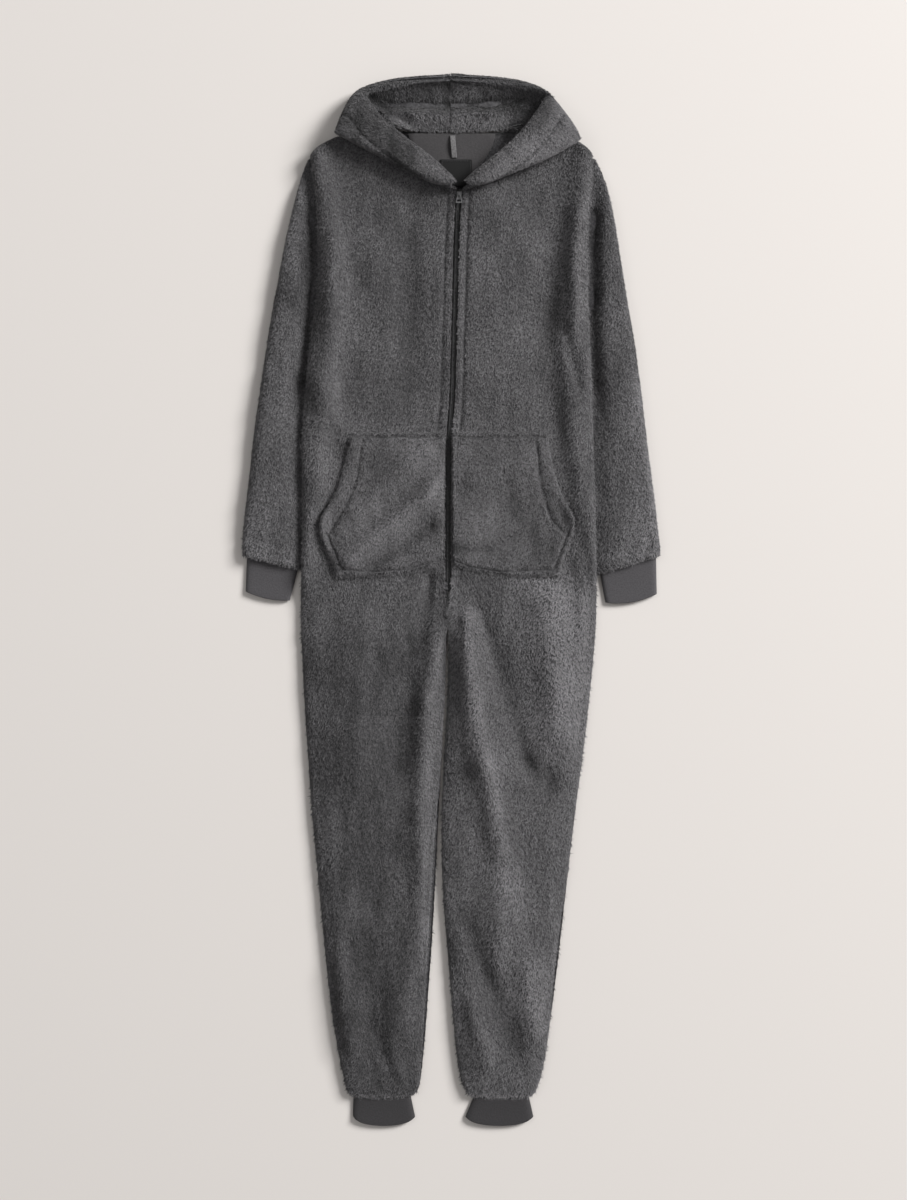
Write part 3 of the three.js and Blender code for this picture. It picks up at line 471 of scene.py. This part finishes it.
def triangles_of(mesh):
    """Corner indices of the mesh's triangles."""
    mesh.calc_loop_triangles()
    corners = np.empty(len(mesh.loop_triangles) * 3, np.int32)
    mesh.loop_triangles.foreach_get("vertices", corners)
    return corners.reshape(-1, 3)


def face_vectors(points, faces):
    """A vector straight out of each triangle, as long as twice its area."""
    a, b, c = (points[faces[:, k]] for k in range(3))
    return np.cross(b - a, c - a)


def read_normals(mesh):
    """Smooth normals, worked out from the triangles as they stand now."""
    points = read_points(mesh)
    faces = triangles_of(mesh)
    outward = face_vectors(points, faces)
    normals = np.zeros_like(points)
    for k in range(3):
        np.add.at(normals, faces[:, k], outward)
    return unit(normals)


def shown_area(mesh, flat):
    """The area of a cut piece: one face of its cloth, within the limits of its flat rectangle."""
    both_faces = np.linalg.norm(face_vectors(read_points(mesh), triangles_of(mesh)), axis=1).sum() / 2
    rectangle = flat[0] * flat[1]
    return min(rectangle, max(LEAST_SHARE * rectangle, float(both_faces / 2)))


def link(name, mesh, material):
    """Put a mesh into the scene as a piece of one material."""
    piece = bpy.data.objects.new(name, mesh)
    bpy.context.scene.collection.objects.link(piece)
    mesh.materials.append(material)
    return piece


def make_mesh(name, points, faces):
    """A mesh from arrays of points and triangles."""
    mesh = bpy.data.meshes.new(name)
    mesh.vertices.add(len(points))
    mesh.vertices.foreach_set("co", points.ravel())
    mesh.loops.add(faces.size)
    mesh.loops.foreach_set("vertex_index", faces.ravel().astype(np.int32))
    mesh.polygons.add(len(faces))
    mesh.polygons.foreach_set("loop_start", np.arange(0, faces.size, 3, dtype=np.int32))
    mesh.update(calc_edges=True)
    mesh.validate()
    return mesh


def find_quads(mesh):
    """Join the mesh's triangles into quads again, and mark its sharp edges."""
    form = bmesh.new()
    form.from_mesh(mesh)
    bmesh.ops.remove_doubles(form, verts=form.verts, dist=MERGE_DISTANCE * MM)
    bmesh.ops.join_triangles(
        form, faces=form.faces, angle_face_threshold=JOIN_ANGLE, angle_shape_threshold=JOIN_ANGLE
    )
    crease = form.edges.layers.float.new("crease_edge")
    for edge in form.edges:
        if edge.is_manifold and edge.calc_face_angle() > SHARP_ANGLE:
            edge[crease] = CRISPNESS
    form.to_mesh(mesh)
    form.free()


def cloth_mesh(node, name, levels):
    """A smooth copy of a node's mesh: its quads are found again and subdivided."""
    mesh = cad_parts[node].data.copy()
    mesh.name = name
    mesh.materials.clear()
    find_quads(mesh)
    piece = bpy.data.objects.new(name, mesh)
    bpy.context.scene.collection.objects.link(piece)
    smoother = piece.modifiers.new("smooth", "SUBSURF")
    smoother.levels = levels
    smoother.render_levels = levels
    smoother.boundary_smooth = "PRESERVE_CORNERS"
    evaluated = piece.evaluated_get(bpy.context.evaluated_depsgraph_get())
    smooth = bpy.data.meshes.new_from_object(evaluated)
    smooth.name = name
    bpy.data.objects.remove(piece)
    bpy.data.meshes.remove(mesh)
    smooth.materials.clear()
    smooth.shade_smooth()
    return smooth


def zip_middle(points):
    """The zip's middle x beside each point."""
    return np.interp(points[:, 1], ZIP_YS, ZIP_XS)


def zip_gap(points):
    """0 on the zip and 1 well beside it. The slider lies free; lower down the pile closes over the zip."""
    x, y = points.T
    reach = np.interp(y, CLEAR_YS, CLEAR_REACH)
    reach += 1.1 * np.sin(y / 2.3 + 2 * np.sin(y / 7.1))
    beside = rising(np.abs(x - zip_middle(points)), reach, 3.5)
    return np.maximum(beside, np.maximum(rising(y, 632, 4), falling(y, 16, 12)))


def zip_closing(points):
    """1 beside the lowest part of the zip, where the pile leans across and hides it."""
    x, y = points.T
    beside = np.exp(-(((x - zip_middle(points)) / 8) ** 2))
    return beside * falling(y, 52, 30) * rising(y, -50, 30)


def pocket_edge(points):
    """1 along the top edge of the pockets, where rough tufts stand out over the seam."""
    return np.exp(-(((points[:, 1] - POCKET_TOP) / 4) ** 2))


def off_hood_seam(points):
    """0 at the middle seam of the hood, and 1 away from it."""
    return rising(np.abs(points[:, 0] - HOOD_SEAM_X), 6, 8)


def painted_light_tone(kind, points):
    """How much lighter or darker the pile is painted: the painted light and shade of the strokes, with long
    streaks down it.
    """
    streaks = soft_unevenness(points * np.array([1.5, 0.5]) + 40)
    return strokes(points, PAINTED_LIGHT_STROKES[kind]) + STREAK_TONE * streaks


def nap_angle(points, kind, sign):
    """The way the pile leans, as an angle from +X."""
    down = -math.pi / 2
    x, y = points.T
    swirl = 0.55 * np.sin(x / 31 + y / 47) + 0.45 * np.sin(y / 23)
    return down + sign * NAP_TURN.get(kind, 0) + NAP_SWIRL.get(kind, USUAL_SWIRL) * swirl


def cell_noise(cell, seed):
    """Two even random numbers for each cell of a grid."""
    mixed = np.sin(cell[:, 0] * 127.1 + cell[:, 1] * 311.7 + seed) * 43758.5453
    other = np.sin(cell[:, 0] * 269.5 + cell[:, 1] * 183.3 + seed) * 24634.6345
    return np.stack([mixed - np.floor(mixed), other - np.floor(other)], axis=1)


def nearest_tuft(points, seed):
    """From each point the way to the middle of its tuft, how far out it is, and the tuft's tone."""
    size = np.array(TUFT_SIZE)
    cell = np.floor(points / size)
    best = np.full(len(points), 9.0)
    offset = np.zeros_like(points)
    tone = np.zeros(len(points))
    for step_x in (-1, 0, 1):
        for step_y in (-1, 0, 1):
            near = cell + np.array([step_x, step_y])
            place = cell_noise(near, seed)
            gap = (near + place) * size - points
            distance = np.hypot(*(gap / size).T)
            closer = distance < best
            best[closer] = distance[closer]
            offset[closer] = gap[closer]
            tone[closer] = place[closer, 0]
    return offset, np.clip(best * 1.4, 0, 1), tone


def fur_weight(kind, centre, normal):
    """Where the pile grows: mostly on the faces that show, and a little on hidden ones."""
    upward = rising(normal[:, 2], -0.25, 0.5)
    if kind == "back":
        side_on = 1 - rising(np.abs(normal[:, 2]), 0.75, 0.2)
        return side_on * rising(normal[:, 2], -0.98, 0.2) + 0.02
    if kind == "hood_outer":
        seen = rising(centre[:, 2], 1 * MM, 6 * MM)
        return upward * 0.9 * seen + 0.12 * seen + 0.02
    return upward + 0.02


def blade_roots(cloth, kind, count, rng):
    """Random places on the cloth where the pile grows, and the cloth's normals there."""
    points = read_points(cloth)
    normals = read_normals(cloth)
    faces = triangles_of(cloth)
    outward = face_vectors(points, faces)
    areas = np.linalg.norm(outward, axis=1) / 2
    face_normal = outward / np.maximum(2 * areas[:, None], 1e-12)
    weight = areas * fur_weight(kind, points[faces].sum(axis=1) / 3, face_normal)
    chosen = faces[rng.choice(len(faces), size=count, p=weight / weight.sum())]
    u = rng.random(count)
    v = rng.random(count)
    outside = u + v > 1
    u[outside] = 1 - u[outside]
    v[outside] = 1 - v[outside]
    shares = (1 - u - v, u, v)
    root = sum(points[chosen[:, k]] * shares[k][:, None] for k in range(3))
    up = sum(normals[chosen[:, k]] * shares[k][:, None] for k in range(3))
    return root, unit(up)


def blade_leans(plane, up, angle, closing):
    """The way each blade lies along the cloth: with the nap, or across the lowest part of the zip."""
    lean = np.stack([np.cos(angle), np.sin(angle), np.zeros(len(angle))], axis=1)
    lean[:, 0] -= CLOSING_LEAN * closing * np.sign(plane[:, 0] - zip_middle(plane))
    lean = along_cloth(lean, up)
    steep = np.linalg.norm(lean, axis=1) < 0.25
    sideways = np.cross(up, np.array([0.0, 1.0, 0.0]))
    lean[steep] = sideways[steep]
    return unit(lean)


def blade_sizes(kind, plane, up, parted, rough, closing, rng):
    """Each blade's size: small in a groove, by the zip and on steep cloth, and large in rough tufts."""
    size = rng.uniform(*LENGTH_RANGE, len(plane))
    size *= 1 - 0.7 * parted
    size *= 0.6 + 0.4 * rising(up[:, 2], 0, 0.7)
    size *= 1 + 0.5 * rough + 0.9 * closing
    if kind in ("front", "pocket"):
        size *= 0.35 + 0.65 * zip_gap(plane)
    return size


def blade_rises(root, up, outer_share, rng):
    """How much each blade stands up: less by the floor, on hidden faces and at the edge of a tuft."""
    off_floor = rising(root[:, 2], 0, 4 * MM)
    facing_up = rising(up[:, 2], -0.35, 0.5)
    rise = BLADE_RISE * (0.35 + 0.65 * facing_up * off_floor) * rng.uniform(*RISE_RANGE, len(root))
    return rise * (1.25 - 0.6 * outer_share)


def pile_layer(mesh, shade):
    """Write each blade's tone, and how far up the blade each corner is, for the pile's material."""
    up_blade = np.tile([0.0, 0.0, 1.0], len(shade))
    layer = mesh.uv_layers.new(name="pile")
    layer.data.foreach_set("uv", np.stack([np.repeat(shade, 3), up_blade], axis=1).ravel())


def fur_mesh(name, cloth, kind, side, count, seed, partings):
    """Short blades all over the cloth's outer face, lying with the nap."""
    rng = np.random.default_rng(seed)
    root, up = blade_roots(cloth, kind, count, rng)
    plane = root[:, :2] * 1000
    rough = pocket_edge(plane) if kind == "pocket" else np.zeros(count)
    closing = zip_closing(plane) if kind == "front" else np.zeros(count)
    angle = nap_angle(plane, kind, SIDES[side]) + rng.normal(0, NAP_SPREAD + rough, count)
    lean = blade_leans(plane, up, angle, closing)
    parted = parting_share(plane, partings, PARTING_WIDTH)
    parted *= np.clip(0.85 + 0.5 * soft_unevenness(plane * 3), 0.3, 1.0)
    size = blade_sizes(kind, plane, up, parted, rough, closing, rng)
    tuft, outer_share, tone = nearest_tuft(plane, seed)
    rise = blade_rises(root, up, outer_share, rng)

    length = BLADE_LENGTH * MM * size
    half_width = BLADE_WIDTH * MM * rng.uniform(*WIDTH_RANGE, count) / 2
    base = root + up * (ROOT_LIFT * MM)
    tip = base + lean * length[:, None] + up * (rise * length)[:, None]
    pull = np.concatenate([tuft * MM, np.zeros((count, 1))], axis=1) * TUFT_PULL
    tip += along_cloth(pull, up)
    turn = rng.normal(0, TURN_SPREAD, count)[:, None]
    half = (np.cross(up, lean) + up * turn) * half_width[:, None]
    blade = np.stack([base - half, base + half, tip], axis=1)
    blade[:, :, 2] = np.maximum(blade[:, :, 2], FLOOR_GAP * MM)
    mesh = make_mesh(name, blade.reshape(-1, 3), np.arange(count * 3).reshape(-1, 3))

    # Each blade's tone: random for its tuft and for itself, plus the painted light and shade of the
    # strokes.
    shade = 0.5 + TUFT_TONE * (tone - 0.5) + painted_light_tone(kind, plane)
    shade += rng.normal(0, BLADE_TONE, count)
    # In the stitched grooves the pile is painted darker, as painted shade in the groove.
    pile_layer(mesh, np.clip(shade * (1 - 0.4 * parted), 0.1, 0.95))
    return mesh


def new_material(name):
    """A material with its nodes, their links and its shader."""
    material = bpy.data.materials.new(name)
    material.use_nodes = True
    nodes = material.node_tree.nodes
    return material, nodes, material.node_tree.links, nodes["Principled BSDF"]


def set_inputs(node, values):
    """Give a node's inputs these values."""
    for name, value in values.items():
        node.inputs[name].default_value = value


def colour_ramp(nodes, colours, places=(0.0, 1.0)):
    """A ramp from the first colour to the second."""
    ramp = nodes.new("ShaderNodeValToRGB")
    for element, colour, place in zip(ramp.color_ramp.elements, colours, places):
        element.position = place
        element.color = (*colour, 1)
    return ramp


def add_relief(nodes, links, height, shader, depth):
    """Let the shader see the height as relief, in metres."""
    bump = nodes.new("ShaderNodeBump")
    set_inputs(bump, {"Strength": 0.5, "Distance": depth})
    links.new(height, bump.inputs["Height"])
    links.new(bump.outputs["Normal"], shader.inputs["Normal"])


def pile_material(name, root, tip):
    """Plush pile: painted darker at its roots and lighter at its tips, as painted shade deep in the pile,
    with each blade's tone on top.
    """
    material, nodes, links, shader = new_material(name)
    place = nodes.new("ShaderNodeUVMap")
    place.uv_map = "pile"
    split = nodes.new("ShaderNodeSeparateXYZ")
    ramp = colour_ramp(nodes, (root, tip))
    double = nodes.new("ShaderNodeMath")
    double.operation = "MULTIPLY"
    double.inputs[1].default_value = 2.0
    tinted = nodes.new("ShaderNodeVectorMath")
    tinted.operation = "SCALE"
    links.new(place.outputs["UV"], split.inputs["Vector"])
    links.new(split.outputs["Y"], ramp.inputs["Fac"])
    links.new(split.outputs["X"], double.inputs[0])
    links.new(ramp.outputs["Color"], tinted.inputs[0])
    links.new(double.outputs[0], tinted.inputs["Scale"])
    links.new(tinted.outputs[0], shader.inputs["Base Color"])
    set_inputs(shader, {"Roughness": 0.7, "Specular IOR Level": 0.3})
    set_inputs(shader, {"Sheen Weight": 0.25, "Sheen Roughness": 0.4})
    return material


def knit_material(name, colours, rib_scale):
    """Fine knitted jersey: narrow ribs, with a speckle of stitches over them."""
    material, nodes, links, shader = new_material(name)
    place = nodes.new("ShaderNodeTexCoord")
    ribs = nodes.new("ShaderNodeTexWave")
    ribs.wave_type = "BANDS"
    ribs.bands_direction = "X"
    set_inputs(ribs, {"Scale": rib_scale, "Distortion": 0.6, "Detail": 1})
    speckle = nodes.new("ShaderNodeTexNoise")
    set_inputs(speckle, {"Scale": 420, "Detail": 3})
    mix = nodes.new("ShaderNodeMath")
    mix.operation = "MULTIPLY_ADD"
    mix.inputs[1].default_value = 0.45
    ramp = colour_ramp(nodes, colours, (0.3, 1.0))
    links.new(place.outputs["Object"], ribs.inputs["Vector"])
    links.new(place.outputs["Object"], speckle.inputs["Vector"])
    links.new(ribs.outputs["Fac"], mix.inputs[0])
    links.new(speckle.outputs["Fac"], mix.inputs[2])
    links.new(mix.outputs[0], ramp.inputs["Fac"])
    add_relief(nodes, links, mix.outputs[0], shader, 0.0006)
    links.new(ramp.outputs["Color"], shader.inputs["Base Color"])
    set_inputs(shader, {"Roughness": 0.85, "Sheen Weight": 0.25, "Sheen Roughness": 0.5})
    return material


def plain_material(name, colours, scale, roughness, metallic=0.0, sheen=0.0, relief=0.0):
    """A surface with a fine grain in its colour and, where asked, in its relief."""
    material, nodes, links, shader = new_material(name)
    place = nodes.new("ShaderNodeTexCoord")
    grain = nodes.new("ShaderNodeTexNoise")
    set_inputs(grain, {"Scale": scale, "Detail": 4})
    ramp = colour_ramp(nodes, colours, (0.35, 0.68))
    links.new(place.outputs["Object"], grain.inputs["Vector"])
    links.new(grain.outputs["Fac"], ramp.inputs["Fac"])
    links.new(ramp.outputs["Color"], shader.inputs["Base Color"])
    if relief:
        add_relief(nodes, links, grain.outputs["Fac"], shader, relief)
    set_inputs(shader, {"Roughness": roughness, "Metallic": metallic, "Sheen Weight": sheen})
    return material


FLEECE = pile_material("fleece", FLEECE_ROOT_SHADE, FLEECE_TIP)
LOOP = plain_material("loop_tape", LOOP_COLOURS, 500, 0.8)
SHADED_GROUND = plain_material("fleece_ground_shaded", GROUND_SHADE_COLOURS, 260, 0.9, sheen=0.2)
JERSEY = knit_material("jersey_rib", JERSEY_COLOURS, CUFF_RIB_SCALE)
ANKLE_JERSEY = knit_material("jersey_rib_dark", ANKLE_COLOURS, CUFF_RIB_SCALE)
FACING = knit_material("jersey_facing", FACING_COLOURS, FACING_RIB_SCALE)
THREAD = plain_material("thread", THREAD_COLOURS, 900, 0.7)
LABEL = plain_material("label_satin", LABEL_COLOURS, 900, 0.9)
TAPE = plain_material("zip_tape", TAPE_COLOURS, 1500, 0.8, relief=0.0003)
COIL = plain_material("zip_coil", COIL_COLOURS, 700, 0.5)
METAL = plain_material("zip_metal", METAL_COLOURS, 300, 0.38, metallic=0.55)


def drape(kind, node, points, normals):
    """Add the folds, the small unevenness and the stitched grooves to the height of a cloth's points."""
    plane = points[:, :2] * 1000
    tall = points[:, 2] * 1000
    upward = rising(normals[:, 2], 0.2, 0.5)
    if kind in ("front", "pocket"):
        # The whole sheet is moved, and less where it comes down to its edges or meets the zip.
        free = np.where(normals[:, 2] > 0, rising(tall, *UPPER_FACE), rising(tall, *LOWER_FACE))
        beside_zip = rising(np.abs(plane[:, 0] - zip_middle(plane)), *OUT_FROM_ZIP)
        free *= np.maximum(beside_zip, falling(plane[:, 1], *BELOW_CROTCH))
        points[:, 2] += MM * FOLD_SHARE * strokes(plane, BODY_FOLDS) * free
    elif kind == "sleeve":
        points[:, 2] += MM * strokes(plane, CREASES[node]) * rising(tall, *LOWER_FACE)
    elif kind == "hood_outer":
        points[:, 2] += MM * strokes(plane, CREASES[node]) * upward
    elif kind == "hood_lining":
        lower_layer = 1 - rising(tall, *UPPER_LINING)
        points[:, 2] += MM * strokes(plane, CREASES[node]) * upward * lower_layer
    if kind != "back":
        height = UNEVENNESS * soft_unevenness(plane)
        groove = parting_share(plane, PARTINGS.get(node, []), PARTING_WIDTH * 0.8)
        height -= PARTING_DEPTH.get(kind, 0) * groove
        points[:, 2] += MM * height * upward


def draw_in(kind, points, normals):
    """Move a cloth's points in by the depth of the pile, but not away from the seam of the hood."""
    inset = PILE_DEPTH * MM * rising(normals[:, 2], -0.6, 0.5)
    sideways = inset
    if kind in ("hood_outer", "hood_lining"):
        sideways = inset * off_hood_seam(points[:, :2] * 1000)
    points[:, :2] -= normals[:, :2] * sideways[:, None]
    points[:, 2] -= normals[:, 2] * inset


def fleece_piece(kind, side, seed):
    """One cut piece of fleece: its smooth cloth with folds, and its pile."""
    node = f"{kind}_{side}"
    mesh = cloth_mesh(node, f"{node}_cloth", BACK_SMOOTHING if kind == "back" else SMOOTHING)
    points = read_points(mesh)
    drape(kind, node, points, read_normals(mesh))
    write_points(mesh, points)
    draw_in(kind, points, read_normals(mesh))
    write_points(mesh, points)
    cloth = link(f"{node}_cloth", mesh, SHADED_GROUND)
    count = FUR_COUNTS[kind]
    pile = fur_mesh(f"{node}_pile", mesh, kind, side, count, seed, PARTINGS.get(node, []))
    fur = link(f"{node}_pile", pile, FLEECE)
    for piece in (cloth, fur):
        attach(piece, "garment")
    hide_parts(node)
    cut = SHEETS[kind]
    area = shown_area(mesh, cut["flat"])


def plain_piece(node, material, flat):
    """One cut piece without pile: a cuff, the facing, the loop or the label."""
    mesh = cloth_mesh(node, f"{node}_cloth", SMOOTHING)
    piece = link(f"{node}_cloth", mesh, material)
    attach(piece, "garment")
    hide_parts(node)
    shown_area(mesh, flat)


def lay_stitch(form, x, y, z, turn):
    """One small block of thread, turned along its line."""
    stitch = bmesh.ops.create_cube(form, size=MM)
    for vertex in stitch["verts"]:
        along = vertex.co.x * STITCH_LENGTH
        across = vertex.co.y * STITCH_THICKNESS
        vertex.co = Vector(
            (
                x + along * math.cos(turn) - across * math.sin(turn),
                y + along * math.sin(turn) + across * math.cos(turn),
                z + (vertex.co.z + 0.3 * MM) * STITCH_THICKNESS,
            )
        )


def stitch_row(form, line, surface):
    """Small stitches along a line in the plane, each lying on the surface below it."""
    for (x1, y1), (x2, y2) in zip(line, line[1:]):
        length = math.hypot(x2 - x1, y2 - y1)
        turn = math.atan2(y2 - y1, x2 - x1)
        for k in range(int(length // STITCH_PITCH)):
            share = (k + 0.5) * STITCH_PITCH / length
            x = (x1 + (x2 - x1) * share) * MM
            y = (y1 + (y2 - y1) * share) * MM
            hit = surface.ray_cast(Vector((x, y, 0.2)), Vector((0, 0, -1)))[0]
            if hit is not None:
                lay_stitch(form, x, y, hit.z, turn)


def stitches(name, cloth, lines):
    """One joined piece with all the stitches on a piece of cloth."""
    surface = BVHTree.FromObject(cloth, bpy.context.evaluated_depsgraph_get())
    form = bmesh.new()
    for line in lines:
        stitch_row(form, line, surface)
    mesh = bpy.data.meshes.new(name)
    form.to_mesh(mesh)
    form.free()
    piece = link(name, mesh, THREAD)
    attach(piece, "garment")


def give_material(node, material):
    """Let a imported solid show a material."""
    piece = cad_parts[node]
    piece.data.materials.clear()
    piece.data.materials.append(material)


def metal_part(node):
    """A solid of the zip in metal, with rounded edges."""
    give_material(node, METAL)
    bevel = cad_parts[node].modifiers.new("edges", "BEVEL")
    bevel.width = METAL_ROUNDING * MM
    bevel.segments = 2
    bevel.limit_method = "ANGLE"


def zip_tooth(form, x, y, top, sign):
    """One slanted loop of the coil, its middle at x and y and its upper side at the top."""
    out, along, up = TOOTH_SIZE
    tooth = bmesh.ops.create_uvsphere(form, u_segments=6, v_segments=4, radius=1.0)
    for vertex in tooth["verts"]:
        dx, dy, dz = vertex.co
        vertex.co = Vector(
            (
                (x + dx * out) * MM,
                (y + dy * along + sign * dx * TOOTH_SLANT) * MM,
                (top - up + dz * up) * MM,
            )
        )


def zip_teeth():
    """The closed coil: a row of small slanted loops on each side of the zip's middle."""
    chain_points = read_points(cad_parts["zip_chain"].data) * 1000
    level_y = np.unique(np.round(chain_points[:, 1], 1))
    level_z = [chain_points[np.abs(chain_points[:, 1] - y) < 0.2, 2].max() for y in level_y]
    form = bmesh.new()
    for y in np.arange(*COIL_ENDS, TOOTH_PITCH):
        middle = np.interp(y, ZIP_YS, ZIP_XS)
        top = np.interp(y, level_y, level_z)
        zip_tooth(form, middle - TOOTH_OFFSET, y, top, -1)
        zip_tooth(form, middle + TOOTH_OFFSET, y + TOOTH_PITCH / 2, top, 1)
    mesh = bpy.data.meshes.new("zip_teeth")
    form.to_mesh(mesh)
    form.free()
    mesh.shade_smooth()
    teeth = link("zip_teeth", mesh, COIL)
    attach(teeth, "garment")
    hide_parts("zip_chain")


def make_floor():
    """The pale surface on which the garment lies."""
    bpy.ops.mesh.primitive_plane_add(size=FLOOR_SIZE, location=(0, 0, 0))
    floor = bpy.context.object
    floor.name = "floor"
    material, _, _, shader = new_material("floor")
    set_inputs(shader, {"Base Color": (*FLOOR_COLOUR, 1), "Roughness": 0.9, "Specular IOR Level": 0.1})
    floor.data.materials.append(material)


def soft_light(name, place, target, size, power, colour):
    """A square light that looks at the target."""
    data = bpy.data.lights.new(name, "AREA")
    data.shape = "SQUARE"
    data.size = size
    data.energy = power
    data.color = colour
    lamp = bpy.data.objects.new(name, data)
    lamp.location = place
    lamp.rotation_euler = (Vector(target) - Vector(place)).to_track_quat("-Z", "Y").to_euler()
    bpy.context.scene.collection.objects.link(lamp)


def make_world():
    """Even light from all round."""
    world = bpy.data.worlds.new("studio")
    world.use_nodes = True
    set_inputs(world.node_tree.nodes["Background"], {"Color": (*SKY_COLOUR, 1), "Strength": SKY_STRENGTH})
    bpy.context.scene.world = world


def make_camera():
    """The photograph's camera, straight above the garment."""
    data = bpy.data.cameras.new("camera")
    data.sensor_fit = "VERTICAL"
    data.sensor_height = SENSOR
    data.lens = SENSOR * CAMERA_HEIGHT / PHOTO_HEIGHT
    data.clip_end = 50
    camera = bpy.data.objects.new("camera", data)
    camera.location = (*PHOTO_CENTRE, CAMERA_HEIGHT)
    camera.rotation_euler = (0, 0, 0)
    bpy.context.scene.collection.objects.link(camera)
    bpy.context.scene.camera = camera


seed = 100
for kind in ("back", "sleeve", "front", "pocket", "hood_outer", "hood_lining"):
    for side in SIDES:
        seed += 1
        fleece_piece(kind, side, seed)
for side in SIDES:
    plain_piece(f"wrist_cuff_{side}", JERSEY, WRIST_CUFF)
    plain_piece(f"ankle_cuff_{side}", ANKLE_JERSEY, ANKLE_CUFF)
plain_piece("neck_facing", FACING, NECK_FACING)
plain_piece("hanger_loop", LOOP, HANGER_LOOP)
plain_piece("neck_label", LABEL, NECK_LABEL)

for node, lines in PARTINGS.items():
    stitches(f"{node}_stitches", bpy.data.objects[f"{node}_cloth"], lines)
stitches("neck_label_stitches", bpy.data.objects["neck_label_cloth"], [LABEL_EDGE])

for side in SIDES:
    give_material(f"zip_tape_{side}", TAPE)
for node in ("zip_slider", "zip_pull"):
    metal_part(node)
zip_teeth()

make_floor()
soft_light("key", **KEY_LIGHT)
soft_light("fill", **FILL_LIGHT)
make_world()
make_camera()
bpy.context.scene.view_settings.view_transform = "Standard"
